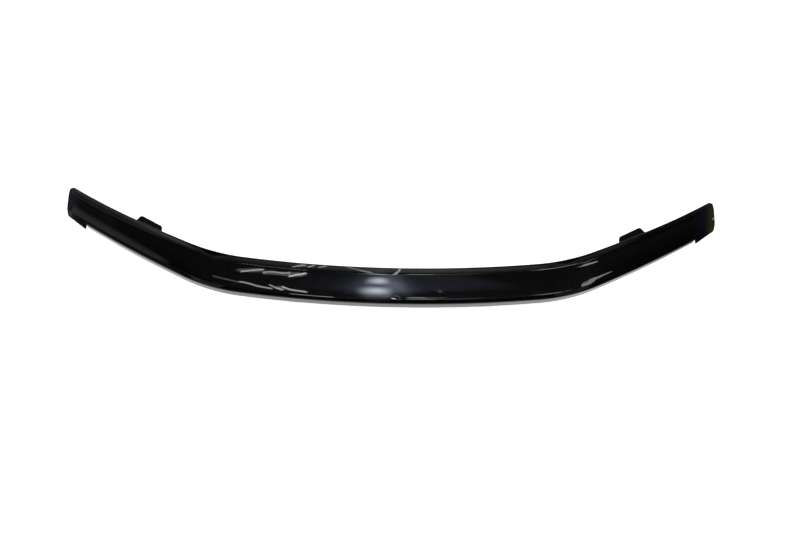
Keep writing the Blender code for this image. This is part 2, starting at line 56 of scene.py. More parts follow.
# Node types and settings that come up often
MATH, VECTOR, RANGE = "ShaderNodeMath", "ShaderNodeVectorMath", "ShaderNodeMapRange"
TURN, NOISE, MIX = "ShaderNodeVectorRotate", "ShaderNodeTexNoise", "ShaderNodeMix"
SMOOTH = {"interpolation_type": "SMOOTHSTEP"}
ABOUT_Z = {"rotation_type": "Z_AXIS"}

Colour = tuple[float, float, float, float]
Pairs = Sequence[tuple[float, float]]
Inputs = Mapping[Any, Any] | Sequence[Any]
Adder = Callable[..., bpy.types.Node]


class Side(Enum):
    """Side of the vehicle, as seen from ahead; the value is its direction along X."""

    LEFT = -1
    RIGHT = 1

    @property
    def label(self) -> str:
        """Prefix of the side's CAD nodes."""
        return self.name.lower()


class Zone(Enum):
    """Part of the flat blank that a row of its cells belongs to."""

    FACE = 1
    FLANGE = 2
    EAR = 3


def linear(hex_colour: str) -> Colour:
    """Turn an sRGB hex colour into linear light.

    Args:
        hex_colour: Six hex digits after a number sign.

    Returns:
        Linear red, green and blue, with an alpha of 1.
    """
    channels = [int(hex_colour[place:place + 2], 16) / 255 for place in (1, 3, 5)]
    red, green, blue = (c / 12.92 if c <= 0.04045 else ((c + 0.055) / 1.055) ** 2.4 for c in channels)
    return red, green, blue, 1.0


def set_inputs(node: bpy.types.Node, inputs: Inputs) -> None:
    """Set or link the inputs of a node.

    Args:
        node: Node to fill.
        inputs: Values by socket name or place, or in order from the first socket. A node stands for
            its first output.
    """
    for key, value in inputs.items() if isinstance(inputs, Mapping) else enumerate(inputs):
        if isinstance(value, bpy.types.Node):
            value = value.outputs[0]
        if isinstance(value, bpy.types.NodeSocket):
            node.id_data.links.new(value, node.inputs[key])
        else:
            node.inputs[key].default_value = value


def add_node(tree: bpy.types.NodeTree, kind: str, inputs: Inputs = (), **settings: Any) -> bpy.types.Node:
    """Add a node to a tree, set its properties and fill its inputs.

    Args:
        tree: Tree that the node goes into.
        kind: Blender's name for the node type.
        inputs: Its inputs, as set_inputs takes them.
        **settings: Properties of the node itself.

    Returns:
        The new node.
    """
    node = tree.nodes.new(kind)
    for name, value in settings.items():
        setattr(node, name, value)
    set_inputs(node, inputs)
    return node


def empty_tree(owner: bpy.types.Material | bpy.types.World) -> Adder:
    """Clear the nodes of a material or a world, and give the function that adds to them."""
    owner.use_nodes = True
    owner.node_tree.nodes.clear()
    return partial(add_node, owner.node_tree)


def lerp(start: float, end: float, share: float) -> float:
    """Value at a share of the way from start to end."""
    return start + (end - start) * share


def smooth_step(value: float, start: float, end: float) -> float:
    """Smooth step from 0 at start to 1 at end."""
    share = min(max((value - start) / (end - start), 0.0), 1.0)
    return share * share * (3.0 - 2.0 * share)


def ray(length: float, angle: float) -> Vector:
    """Vector in the section plane, as (back, up)."""
    return Vector((length * cos(angle), length * sin(angle)))


def bend(start: Vector, corner: Vector, end: Vector, steps: int) -> list[Vector]:
    """Round a corner.

    Args:
        start: Where the bend leaves the first line.
        corner: Where the two lines would meet.
        end: Where the bend joins the second line.
        steps: Facets of the bend.

    Returns:
        Points from start to end, tangent to both lines.
    """
    shares = [step / steps for step in range(steps + 1)]
    return [start.lerp(corner, share).lerp(corner.lerp(end, share), share) for share in shares]


def spread(start: float, end: float, facet: float) -> list[float]:
    """Even steps from start to end, none longer than a facet; the start is left out."""
    count = max(1, ceil((end - start) / facet))
    return [lerp(start, end, step / count) for step in range(1, count + 1)]


def add_object(name: str, data: bpy.types.ID) -> bpy.types.Object:
    """Put an object into the scene, at the origin."""
    item = bpy.data.objects.new(name, data)
    bpy.context.scene.collection.objects.link(item)
    return item


def add_mesh(name: str, bm: bmesh.types.BMesh) -> bpy.types.Object:
    """Put a bmesh into the scene as an object at the origin, and free it."""
    mesh = bpy.data.meshes.new(name)
    bm.to_mesh(mesh)
    bm.free()
    return add_object(name, mesh)


def add_wall(bm: bmesh.types.BMesh, first: Sequence[bmesh.types.BMVert],
             second: Sequence[bmesh.types.BMVert]) -> None:
    """Join two rings of equally many vertices by a wall of four-sided faces."""
    for here in range(len(first)):
        after = (here + 1) % len(first)
        bm.faces.new((first[here], second[here], second[after], first[after]))


def add_modifier(item: bpy.types.Object, name: str, kind: str, **settings: Any) -> None:
    """Add a modifier and set its properties.

    Args:
        item: Object that the modifier works on.
        name: Name of the modifier.
        kind: Blender's name for the modifier type.
        **settings: Properties of the modifier.
    """
    modifier = item.modifiers.new(name, kind)
    for key, value in settings.items():
        setattr(modifier, key, value)


def settle(item: bpy.types.Object, *helpers: bpy.types.Object) -> None:
    """Turn an object's evaluated modifiers into its plain mesh.

    Args:
        item: Object whose modifiers are all live.
        *helpers: Objects that the modifiers use, such as cutters, which are removed.
    """
    graph = bpy.context.evaluated_depsgraph_get()
    mesh = bpy.data.meshes.new_from_object(item.evaluated_get(graph), preserve_all_data_layers=True,
                                           depsgraph=graph)
    mesh.name = item.name
    item.modifiers.clear()
    item.data = mesh
    mesh.shade_smooth()
    mesh.set_sharp_from_angle(angle=SMOOTH_BELOW)
    for helper in helpers:
        bpy.data.objects.remove(helper, do_unlink=True)


def drill_and_round(item: bpy.types.Object, tool: bpy.types.Object, edge_round: float, facets: int,
                    sharp: float) -> None:
    """Cut a tool out of a sheet, round its cut edges and settle it.

    Args:
        item: The sheet.
        tool: Cutting tool, which is removed at the end.
        edge_round: Width of the rounding.
        facets: Facets of the rounding.
        sharp: Edges steeper than this angle are rounded.
    """
    add_modifier(item, "holes", "BOOLEAN", operation="DIFFERENCE", solver="EXACT", object=tool)
    add_modifier(item, "edges", "BEVEL", width=edge_round, segments=facets, limit_method="ANGLE",
                 angle_limit=sharp)
    settle(item, tool)


# Finishes


@dataclass(frozen=True)
class Finish:
    """A surface finish: what its material is and how its surface was made.

    Attributes:
        name: Name of the material.
        slot: Material slot of the record for pieces in this finish; not used.
        colour: Base colour as sRGB hex.
        roughness: Mean roughness.
        ior: Index of refraction; metals keep the default.
        metallic: 1 for bare or plated metal.
        unevenness: How far the roughness strays from its mean.
    """

    name: str
    slot: str
    colour: str
    roughness: float
    ior: float = 1.5
    metallic: float = 0.0
    unevenness: float = 0.0

    def material(self) -> bpy.types.Material:
        """Give the finish's material, which is built the first time."""
        made = bpy.data.materials.get(self.name)
        if made is None:
            made = bpy.data.materials.new(self.name)
            made.use_nodes = True
            add = partial(add_node, made.node_tree)
            place = add("ShaderNodeTexCoord").outputs["Object"]
            set_inputs(made.node_tree.nodes["Principled BSDF"],
                       {"Base Color": linear(self.colour), "Roughness": self.roughness, "IOR": self.ior,
                        "Metallic": self.metallic, **self.texture(add, place)})
        return made

    def texture(self, add: Adder, place: bpy.types.NodeSocket) -> dict[str, Any]:
        """Build the finish's own pattern; a plain finish has none.

        Args:
            add: Adds a node to the material's tree.
            place: Object coordinates in metres.

        Returns:
            What the pattern sends to the Principled shader, by input.
        """
        return {}

    def sheen(self, add: Adder, cloud: bpy.types.Node) -> bpy.types.Node:
        """Let a noise spread the roughness about its mean."""
        return add(RANGE, {"Value": cloud, "To Min": self.roughness - self.unevenness,
                           "To Max": self.roughness + self.unevenness})

    def complete(self, piece: bpy.types.Object, *nodes: str) -> bpy.types.Object:
        """Dress a finished piece, attach it to the body and hide the CAD nodes that it stands for.

        Args:
            piece: The piece, as a plain mesh.
            *nodes: The CAD nodes that it stands for.

        Returns:
            The same piece.
        """
        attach(piece, BODY)
        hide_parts(*nodes)
        piece.data.materials.clear()
        piece.data.materials.append(self.material())
        LOG.info("%s: %d CAD nodes, %d polygons", piece.name, len(nodes), len(piece.data.polygons))
        return piece


@dataclass(frozen=True)
class GlossAcrylic(Finish):
    """Thermoformed acrylic sheet in near-black smoke.

    The sheet's skin is a sharp mirror. A wider, weaker lobe under it is the haze of the handled
    surface. The mould leaves a long, very shallow ripple, and dust specks lie on top. Painted sheen
    lightens the base colour over the outer left wing and its tip, and tints the right tip faintly
    violet and olive. It stands in for reflections and the stretched sheet's interference colours.

    Attributes:
        skin: Roughness of the mirror.
        haze: Specular level of the lobe under it.
        smear: Size of the largest smears of handling in metres.
        ripple: Length of the ripple along the shield in metres, from crest to crest.
        cross_ripple: How many times shorter the ripple is across the shield.
        ripple_depth: Depth of the ripple in metres.
        dust: Colour of the specks as sRGB hex.
        speck_spacing: Mean distance between specks in metres.
        speck: Shares of that distance at which a speck starts to fade and is gone.
        tints: X at which a painted sheen starts, is full, starts to fade and is gone, and its sRGB hex.
    """

    skin: float = 0.018
    haze: float = 0.04
    smear: float = 1 / 28
    ripple: float = 0.055
    cross_ripple: float = 2.4
    ripple_depth: float = 0.000004
    dust: str = "#2A2B2D"
    speck_spacing: float = 0.011
    speck: tuple[float, float] = (0.03, 0.06)
    # painted sheen: lighter grey over the outer left wing and tip, and violet and olive at the right tip,
    # standing in for reflections
    tints: tuple[tuple[float, float, float, float, str], ...] = (
        (-0.58, -0.61, -0.9, -0.95, "#070709"), (-0.67, -0.70, -0.9, -0.95, "#1C1B21"),
        (0.650, 0.676, 0.680, 0.696, "#080512"), (0.678, 0.699, 0.700, 0.709, "#1E220F"))

    def texture(self, add: Adder, place: bpy.types.NodeSocket) -> dict[str, Any]:
        """Build the ripple, the haze, the dust and the painted sheen at the tips."""
        along = add("ShaderNodeMapping", {"Vector": place,
                                          "Scale": (1.0, self.cross_ripple, self.cross_ripple)})
        wave = add(NOISE, {"Vector": along, "Scale": 1 / self.ripple, "Detail": 1.0})
        bump = add("ShaderNodeBump", {"Height": wave, "Strength": 1.0, "Distance": self.ripple_depth})
        smears = add(NOISE, {"Vector": along, "Scale": 1 / self.smear, "Detail": 4.0})
        cells = add("ShaderNodeTexVoronoi", {"Vector": place, "Scale": 1 / self.speck_spacing})
        specks = add(RANGE, {"Value": cells.outputs["Distance"], "From Min": self.speck[0],
                             "From Max": self.speck[1], "To Min": 1.0, "To Max": 0.0})
        colour = add(MIX, {"Factor": specks, 6: linear(self.colour), 7: linear(self.dust)},
                     data_type="RGBA").outputs[2]
        across = add("ShaderNodeSeparateXYZ", (place,)).outputs[0]
        # painted sheen: mix the base colour towards each sheen colour across its band of X
        for start, full, fade, gone, sheen_colour in self.tints:
            rise, fall = (add(RANGE, {"Value": across, "From Min": low, "From Max": high}, **SMOOTH)
                          for low, high in ((start, full), (gone, fade)))
            share = add(MATH, (rise, fall), operation="MULTIPLY")
            colour = add(MIX, {"Factor": share, 6: colour, 7: linear(sheen_colour)}, data_type="RGBA").outputs[2]
        return {"Base Color": colour, "Roughness": self.sheen(add, smears), "Normal": bump,
                "Coat Normal": bump, "Coat Weight": 1.0, "Coat Roughness": self.skin,
                "Coat IOR": self.ior, "Specular IOR Level": self.haze}


@dataclass(frozen=True)
class GrainedFinish(Finish):
    """A finish with a fine grain: powder paint, plating, phosphate or moulded rubber.

    Attributes:
        fleck: Colour of the lighter flecks as sRGB hex.
        grain: Size of one grain in metres.
        relief: Height of the grain in metres.
        cloud: Size of the flecks' clouds, in grains.
        cloud_edge: Values of the noise at which the flecks start and are full.
        specular: Specular level, where 0.5 is what the index of refraction gives.
    """

    fleck: str = "#808080"
    grain: float = 0.0008
    relief: float = 0.00001
    cloud: float = 1 / 0.12
    cloud_edge: tuple[float, float] = (0.35, 0.75)
    specular: float = 0.5

    def texture(self, add: Adder, place: bpy.types.NodeSocket) -> dict[str, Any]:
        """Build the grain's relief, its flecks and its uneven sheen."""
        grain = add(NOISE, {"Vector": place, "Scale": 1 / self.grain, "Detail": 3.0})
        bump = add("ShaderNodeBump", {"Height": grain, "Distance": self.relief})
        cloud = add(NOISE, {"Vector": place, "Scale": 1 / (self.cloud * self.grain),
                            "Detail": 5.0, "Roughness": 0.65})
        share = add(RANGE, {"Value": cloud, "From Min": self.cloud_edge[0], "From Max": self.cloud_edge[1]})
        colour = add(MIX, {"Factor": share, 6: linear(self.colour), 7: linear(self.fleck)},
                     data_type="RGBA").outputs[2]
        return {"Base Color": colour, "Roughness": self.sheen(add, cloud), "Normal": bump,
                "Specular IOR Level": self.specular}


@dataclass(frozen=True)
class CellularFoam(Finish):
    """Closed-cell foam rubber, cut from sheet, whose opened cells show as small pits.

    Attributes:
        cell: Mean distance between cells in metres.
        pit: Depth of an opened cell in metres.
        hollow: Darker colour inside the cells as sRGB hex: painted shade in the pits.
    """

    cell: float = 0.0009
    pit: float = 0.00018
    # painted shade: the cells' hollows are coloured darker where shade would fall
    hollow: str = "#0C0C0D"

    def texture(self, add: Adder, place: bpy.types.NodeSocket) -> dict[str, Any]:
        """Build the cells, with painted shade darkening their hollows."""
        cells = add("ShaderNodeTexVoronoi", {"Vector": place, "Scale": 1 / self.cell})
        away = cells.outputs["Distance"]
        bump = add("ShaderNodeBump", {"Height": away, "Distance": self.pit})
        # painted shade: darker towards the middle of each cell
        colour = add(MIX, {"Factor": away, 6: linear(self.hollow), 7: linear(self.colour)},
                     data_type="RGBA").outputs[2]
        return {"Base Color": colour, "Normal": bump}


# PMMA: refractive index 1.49, mirror gloss over a weak haze
ACRYLIC = GlossAcrylic("gloss_black_acrylic", "gloss_acrylic", "#020203", 0.30, ior=1.49, unevenness=0.06)
# Polyester powder paint: an orange peel about 0.8 mm across, whose fine pits swallow much of its gloss
STRAP_PAINT = GrainedFinish("matte_black_powder_paint", "painted_strap", "#060606", 0.55, ior=1.5,
                            fleck="#0B0B0A", grain=0.0008, relief=0.000012, unevenness=0.08, specular=0.2)
# Bright zinc plate: cloudy passivate over a fine matt deposit
ZINC = GrainedFinish("zinc_plated_steel", "zinc_fastener", "#B7B6AE", 0.30, metallic=1.0,
                     fleck="#CFCDBE", grain=0.0004, relief=0.000003, unevenness=0.12)
# Phosphated and oiled spring steel: charcoal crystals with a satin sheen
SPRING_STEEL = GrainedFinish("phosphated_spring_steel", "spring_clip", "#38383A", 0.44, metallic=0.9,
                             fleck="#4B4A49", grain=0.0005, relief=0.000005, unevenness=0.1)
# Moulded EPDM washers: fine matt skin
RUBBER = GrainedFinish("moulded_rubber", "soft_washer", "#131313", 0.72, ior=1.52,
                       fleck="#1D1D1D", grain=0.0005, relief=0.000008, unevenness=0.08)
FOAM = CellularFoam("foam_rubber", "foam_pad", "#232324", 0.93, ior=1.5)


# Sizes and rules that the pieces share


@dataclass(frozen=True)
class NoseLine:
    """The line where the face turns under: three tangent arcs on each side, rising as they run back."""

    centre_radius: float = 2.442
    centre_length: float = 0.317
    bend_radius: float = 0.363
    bend_length: float = 0.1336
    wing_radius: float = 2.676
    wing_length: float = 0.309
    rise: float = 0.10
    hood_edge: float = 0.030

    @property
    def bend_end(self) -> float:
        """Run at which the bend meets the wing."""
        return self.centre_length + self.bend_length

    @property
    def tip(self) -> float:
        """Run of the tip's lower corner."""
        return self.bend_end + self.wing_length

    def at(self, run: float) -> tuple[Vector, float]:
        """Find a place on the line.

        Args:
            run: Signed distance along the line from the centre plane.

        Returns:
            The point and the line's heading in plan.
        """
        left, x, y, heading = abs(run), 0.0, 0.0, 0.0
        for radius, length in ((self.centre_radius, self.centre_length),
                               (self.bend_radius, self.bend_length), (self.wing_radius, left)):
            step = min(left, length)
            turned = heading + step / radius
            x += radius * (sin(turned) - sin(heading))
            y += radius * (cos(heading) - cos(turned))
            heading = turned
            left -= step
        side = copysign(1.0, run)
        return Vector((side * x, y - self.hood_edge, self.rise * y)), side * heading

    def along(self, heading: float) -> Vector:
        """Unit vector along the line at a heading."""
        return Vector((cos(heading), sin(heading), self.rise * sin(heading))).normalized()


@dataclass(frozen=True)
class Section:
    """Section of the shield, as (back, up) from the nose line, and how it changes along the run."""

    sheet: float = 0.003
    face_centre: float = 0.0746
    face_tip: float = 0.0572
    taper: tuple[float, float] = (0.320, 0.809)
    lean_centre: float = radians(44.7)
    lean_wing: float = radians(52.5)
    swing: tuple[float, float] = (0.351, 0.471)
    upper_band: float = 0.0135
    upper_kick: float = radians(12)
    upper_roll: float = radians(5)
    lower_band: float = 0.0105
    lower_kick: float = radians(15)
    crown_radius: float = 0.235
    upper_crease: float = 0.0012
    lower_crease: float = 0.001
    nose_bend: float = 0.0025
    flange: float = 0.0228
    tuck: float = radians(24.7)

    def lean(self, run: float) -> float:
        """Slope of the face above level."""
        return lerp(self.lean_centre, self.lean_wing, smooth_step(abs(run), *self.swing))

    def depth(self, run: float) -> float:
        """Depth of the face from the nose line to its top edge."""
        return lerp(self.face_centre, self.face_tip, smooth_step(abs(run), *self.taper))

    def main_face(self, run: float, share: float) -> tuple[Vector, Vector]:
        """Find a place on the crowned face between the creases.

        Args:
            run: Distance along the nose line.
            share: 0 at the lower crease, 1 at the upper one.

        Returns:
            The point and the outward normal, as (back, up).
        """
        lean = self.lean(run)
        upper = ray(self.depth(run), lean) - ray(self.upper_band, lean + self.upper_kick)
        lower = ray(self.lower_band, lean + self.lower_kick)
        chord = upper - lower
        half_angle = asin(chord.length / (2 * self.crown_radius))
        outward = Vector((-chord.y, chord.x)).normalized()
        centre = (upper + lower) / 2 - outward * self.crown_radius * cos(half_angle)
        turn = lerp(half_angle, -half_angle, share)
        normal = outward * cos(turn) - chord.normalized() * sin(turn)
        return centre + normal * self.crown_radius, normal


@dataclass(frozen=True)
class Ears:
    """Level tabs at the flange's lower edge, and the bracket stations that they carry."""

    bend: float = 0.004
    width: float = 0.028
    reach: float = 0.020
    chamfer: float = 0.004
    hole_radius: float = 0.003
    centre_station: float = 0.200
    side_setback: float = 0.1731
    spacing: float = 0.068

    def side_station(self, nose: NoseLine) -> float:
        """Run of the side bracket's middle."""
        return nose.tip - self.side_setback

    def runs(self, nose: NoseLine) -> tuple[float, float, float]:
        """Runs of the three ears on one side."""
        station = self.side_station(nose)
        return self.centre_station, station - self.spacing / 2, station + self.spacing / 2

    def hole_setback(self, section: Section) -> float:
        """Nose line back to the ears' screw holes."""
        return (section.flange + self.bend) * sin(section.tuck) + self.bend + self.reach / 2


NOSE = NoseLine()
SECTION = Section()
EARS = Ears()
GAP = 0.0003    # clearance between pieces that touch
STRAP = 0.002   # the brackets' steel strap
STRAP_TOP = SECTION.sheet + GAP + STRAP   # its top side in a bracket's frame
FAR = 9.0       # a run beyond every tip


def bracket_frame(run: float) -> Matrix:
    """A bracket's own frame: X along the nose line, Y level and back, Z up off the ears' underside."""
    point, heading = NOSE.at(run)
    along = NOSE.along(heading)
    back = Vector((-sin(heading), cos(heading), 0.0))
    rotation = Matrix((along, back, along.cross(back))).transposed().to_4x4()
    drop = (SECTION.flange + EARS.bend) * cos(SECTION.tuck)
    return Matrix.Translation(point - Vector((0.0, 0.0, drop))) @ rotation


class ShapeTree:
    """A Geometry Nodes tree with named inputs, which turns an object's mesh into a finished shape."""

    def __init__(self, name: str) -> None:
        """Start a tree.

        Args:
            name: Name of the tree.
        """
        self.tree = bpy.data.node_groups.new(name, "GeometryNodeTree")
        self.values: dict[str, Any] = {}
        for direction in ("INPUT", "OUTPUT"):
            self.tree.interface.new_socket("Geometry", in_out=direction, socket_type="NodeSocketGeometry")
        self.source = self.tree.nodes.new("NodeGroupInput")

    @property
    def geometry(self) -> bpy.types.NodeSocket:
        """The geometry that comes in."""
        return self.source.outputs["Geometry"]

    def add(self, kind: str, inputs: Inputs = (), **settings: Any) -> bpy.types.Node:
        """Add a node to this tree, as add_node does."""
        return add_node(self.tree, kind, inputs, **settings)

    def size(self, name: str, value: Any, kind: str = "NodeSocketFloat") -> bpy.types.NodeSocket:
        """Add a named input.

        Args:
            name: Name of the input.
            value: What the modifier sets it to.
            kind: Type of its socket.

        Returns:
            The input's socket inside the tree.
        """
        socket = self.tree.interface.new_socket(name, in_out="INPUT", socket_type=kind)
        self.values[socket.identifier] = value
        return self.source.outputs[name]

    def close(self, geometry: bpy.types.Node | bpy.types.NodeSocket, finish: Finish) -> None:
        """End the tree by realizing its instances and setting the material."""
        real = self.add("GeometryNodeRealizeInstances", {"Geometry": geometry})
        dressed = self.add("GeometryNodeSetMaterial", {"Geometry": real, "Material": finish.material()})
        self.add("NodeGroupOutput", {"Geometry": dressed})

    def use_on(self, item: bpy.types.Object) -> None:
        """Put the tree on an object, with its inputs set by identifier."""
        modifier = item.modifiers.new(self.tree.name, "NODES")
        modifier.node_group = self.tree
        for identifier, value in self.values.items():
            modifier[identifier] = value


# The shield


# What the blank's vertices carry into forming: the signed run, what BlankRow explains, whether the
# vertex lies on the flat skirt beyond the flange, and how far the tip's rim lifts it
FORMING = ("run", "share", "shift", "upper", "lower", "down", "ear", "skirt", "rim")


@dataclass(frozen=True)
class BlankRow:
    """One row of the flat blank, and where forming takes it in the section.

    Attributes:
        share: Place on the main face, from lower crease 0 to upper crease 1.
        shift: Distance added to that place, towards the upper crease.
        upper: Distance up the upper band from its crease.
        lower: Distance down the lower band from its crease.
        down: Distance down the flange from the nose line.
        ear: Distance back along an ear.
        zone: Part of the blank that the cells under this row belong to.
    """

    share: float = 0.0
    shift: float = 0.0
    upper: float = 0.0
    lower: float = 0.0
    down: float = 0.0
    ear: float = 0.0
    zone: Zone = Zone.FACE


@dataclass
class Shield:
    """The thermoformed shield: a flat blank with slots and ears, which a tree bends into shape.

    Attributes:
        flange_stop: Length of the flat tip beyond the flange.
        notch: Width of the relief slot between them.
        end_square: Distance down the flange at which its end starts to slant by end_slant.
        skirt_inner: Depth of the tip below the nose line at the slot; skirt_tip is the same at its end.
        rake: Slant of the tip's end, whose top and bottom corners are rounded by corner and heel.
        rim: Width of the rim at that end, which lifts by rim_rise.
        lip_rows: Distances of the upper band's rows from the top edge.
        facets: Longest cell along the middle, the bend and the wing.
        tip_gaps: Distances of the tip's columns from its end.
    """

    section: Section = SECTION
    nose: NoseLine = NOSE
    ears: Ears = EARS
    finish: Finish = ACRYLIC
    flange_stop: float = 0.0530
    notch: float = 0.0008
    end_square: float = 0.006
    end_slant: float = 0.36
    skirt_inner: float = 0.0105
    skirt_tip: float = 0.004
    rake: float = 0.42
    corner: float = 0.017
    heel: float = 0.004
    rim: float = 0.014
    rim_rise: float = 0.0018
    edge_round: float = 0.0004
    lip_rows: tuple[float, ...] = (0.0, .0002, .0006, .0012, .002, .0032, .0045, .006, .0075, .009)
    facets: tuple[float, float, float] = (0.005, 0.003, 0.007)
    bend_facets: int = 6
    face_facets: int = 24
    tip_gaps: tuple[float, ...] = (.044, .037, .030, .024, .019, .0165, .014, .0115, .009, .007, .005,
                                   .0035, .0022, .0012, .0005, 0.0)

    @property
    def flange_end(self) -> float:
        """Run at which the flange stops."""
        return self.nose.tip - self.flange_stop

    def rows(self) -> list[BlankRow]:
        """Rows of the blank from the top edge down to the ears' ends."""
        s, e = self.section, self.ears
        upper, lower, turn = s.upper_crease, s.lower_crease, s.nose_bend
        steps = [step / self.bend_facets for step in range(1, self.bend_facets + 1)]
        face = [step / self.face_facets for step in range(1, self.face_facets)]
        rows = [BlankRow(share=1.0, upper=s.upper_band - drop) for drop in self.lip_rows]
        rows.append(BlankRow(share=1.0, upper=upper))
        rows += [BlankRow(share=1.0, shift=-t * t * upper, upper=(1 - t) ** 2 * upper) for t in steps]
        rows += [BlankRow(share=1 - t, shift=lerp(-upper, lower, t)) for t in face]
        rows.append(BlankRow(shift=lower))
        rows += [BlankRow(shift=(1 - t) ** 2 * lower, lower=t * t * lower) for t in steps]
        rows += [BlankRow(lower=lerp(lower, s.lower_band - turn, t)) for t in (0.33, 0.66, 1.0)]
        rows += [BlankRow(lower=s.lower_band - (1 - t) ** 2 * turn, down=t * t * turn, zone=Zone.FLANGE)
                 for t in steps]
        turned = partial(BlankRow, lower=s.lower_band)
        rows += [turned(down=lerp(turn, s.flange, t), zone=Zone.FLANGE) for t in (0.25, 0.5, 0.75, 0.93)]
        rows.append(turned(down=s.flange, zone=Zone.EAR))
        rows += [turned(down=s.flange + e.bend * (1 - (1 - t) ** 2), ear=e.bend * t * t, zone=Zone.EAR)
                 for t in steps]
        rows += [turned(down=s.flange + e.bend, ear=e.bend + reach, zone=Zone.EAR)
                 for reach in (e.reach / 2, e.reach - e.chamfer, e.reach)]
        return rows

    def columns(self) -> list[float]:
        """Runs of the blank's columns on one side, up to the relief slot's outer side."""
        nose = self.nose
        marks = [0.0, nose.centre_length, nose.bend_end, self.flange_end, self.flange_end + self.notch]
        for ear in self.ears.runs(nose):
            marks += [ear - self.ears.width / 2, ear, ear + self.ears.width / 2]
        marks.sort()
        runs = [0.0]
        for start, end in zip(marks, marks[1:]):
            middle = (start + end) / 2
            place = (middle > nose.centre_length) + (middle > nose.bend_end)
            runs += spread(start, end, self.facets[place])
        return runs

    def ear_at(self, run: float) -> float | None:
        """Run of the ear that covers a place, or None."""
        for ear in self.ears.runs(self.nose):
            if abs(run - ear) < self.ears.width / 2 + GAP:
                return ear
        return None

    def tip_height(self, row: BlankRow) -> float:
        """Height of a row up the face at the tip."""
        s = self.section
        upper = s.depth(self.nose.tip) - s.upper_band * cos(s.upper_kick)
        lower = s.lower_band * cos(s.lower_kick)
        share = row.share + row.shift / (upper - lower)
        height = lerp(lower, upper, share) + row.upper * cos(s.upper_kick)
        return height - (row.lower + self.skirt_drop(row, self.nose.tip)) * cos(s.lower_kick)

    def tip_place(self, row: BlankRow, start: float, gap: float) -> tuple[float, float]:
        """Find a place near the raked tip, with its two round corners and its lifted rim.

        Args:
            row: Row of the blank.
            start: Run at which the tip's columns start.
            gap: Distance of the column from the tip's end, at the nose line.

        Returns:
            The place's run, and how far its rim lifts.
        """
        height = self.tip_height(row)
        raked = end = self.nose.tip + self.rake * height
        depth = self.section.depth(self.nose.tip)
        for radius, inward in ((self.corner, depth - height), (self.heel, height + self.skirt_tip)):
            inset = min(max(radius - inward, 0.0), radius)
            end -= radius - sqrt(radius * radius - inset * inset)
        run = start + (end - start) * (1 - gap / (self.nose.tip - start))
        return run, self.rim_rise * max(1.0 - (raked - run) / self.rim, 0.0) ** 2

    def skirt_drop(self, row: BlankRow, run: float) -> float:
        """Distance of a flange row below the nose line on the flat skirt beyond the slot."""
        turn = self.section.nose_bend
        if row.down <= turn:
            return row.down
        share = min(max((run - self.flange_end) / self.flange_stop, 0.0), 1.0)
        depth = lerp(self.skirt_inner, self.skirt_tip, share)
        return lerp(turn, depth, min((row.down - turn) / (self.section.flange - turn), 1.0))

    def spot(self, row: BlankRow, run: float, gap: float | None) -> tuple[float, float, tuple[float, ...]]:
        """Find where a vertex of the blank lies, on the side where runs are positive.

        Args:
            row: Its row.
            run: Run of its column; for the tip's columns, the run at which the tip starts.
            gap: Distance of a tip's column from the tip's end, or None.

        Returns:
            Its run, its distance down the flat blank, and its forming numbers after the run.
        """
        place, rim = (run, 0.0) if gap is None else self.tip_place(row, run, gap)
        if abs(run - self.flange_end) < GAP:
            place += self.end_slant * max(row.down - self.end_square, 0.0)
        ear, width = self.ear_at(run), self.ears.width
        if ear is not None and row.ear >= self.ears.bend + self.ears.reach and abs(run - ear) > width / 4:
            place -= copysign(self.ears.chamfer, run - ear) * (abs(run - ear) * 2 / width)
        skirt = gap is not None or run > self.flange_end + self.notch / 2
        down = self.skirt_drop(row, place) if skirt else row.down
        flat = (1 - row.share) * self.section.face_centre + row.lower + down + row.ear - row.upper
        return place, flat, (row.share, row.shift, row.upper, row.lower, down, row.ear, float(skirt), rim)

    def blank(self) -> bpy.types.Object:
        """Cut the flat blank, with its forming numbers stored on its vertices."""
        rows, runs = self.rows(), self.columns()
        half = [(run, None) for run in runs] + [(runs[-1], gap) for gap in self.tip_gaps]
        signed = [(-1, column) for column in reversed(half[1:])] + [(1, column) for column in half]
        facts: list[tuple[float, ...]] = []
        grid = []
        bm = bmesh.new()
        for side, column in signed:
            line = []
            for row in rows:
                place, flat, formed = self.spot(row, *column)
                line.append(bm.verts.new((side * place, -flat, 0.0)))
                facts.append((side * place, *formed))
            grid.append(line)
        for (side, near_column), near, (_, far_column), far in zip(signed, grid, signed[1:], grid[1:]):
            inner, outer = (far_column, near_column) if side < 0 else (near_column, far_column)
            for count, row in enumerate(rows[:-1]):
                if self.covered(inner, outer, row.zone):
                    bm.faces.new((near[count], near[count + 1], far[count + 1], far[count]))
        bm.verts.index_update()
        kept = [vert.index for vert in bm.verts if vert.link_faces]
        bmesh.ops.delete(bm, geom=[vert for vert in bm.verts if not vert.link_faces], context="VERTS")
        shield = add_mesh("acrylic_shield", bm)
        for name, values in zip(FORMING, zip(*(facts[index] for index in kept))):
            shield.data.attributes.new(name, "FLOAT", "POINT").data.foreach_set("value", values)
        return shield

    def covered(self, inner: tuple[float, float | None], outer: tuple[float, float | None],
                zone: Zone) -> bool:
        """Whether the sheet covers the cells of a zone between two columns."""
        if outer[1] is not None:
            return zone is not Zone.EAR
        middle = (inner[0] + outer[0]) / 2
        if zone is Zone.EAR:
            return self.ear_at(middle) is not None
        return zone is Zone.FACE or middle < self.flange_end

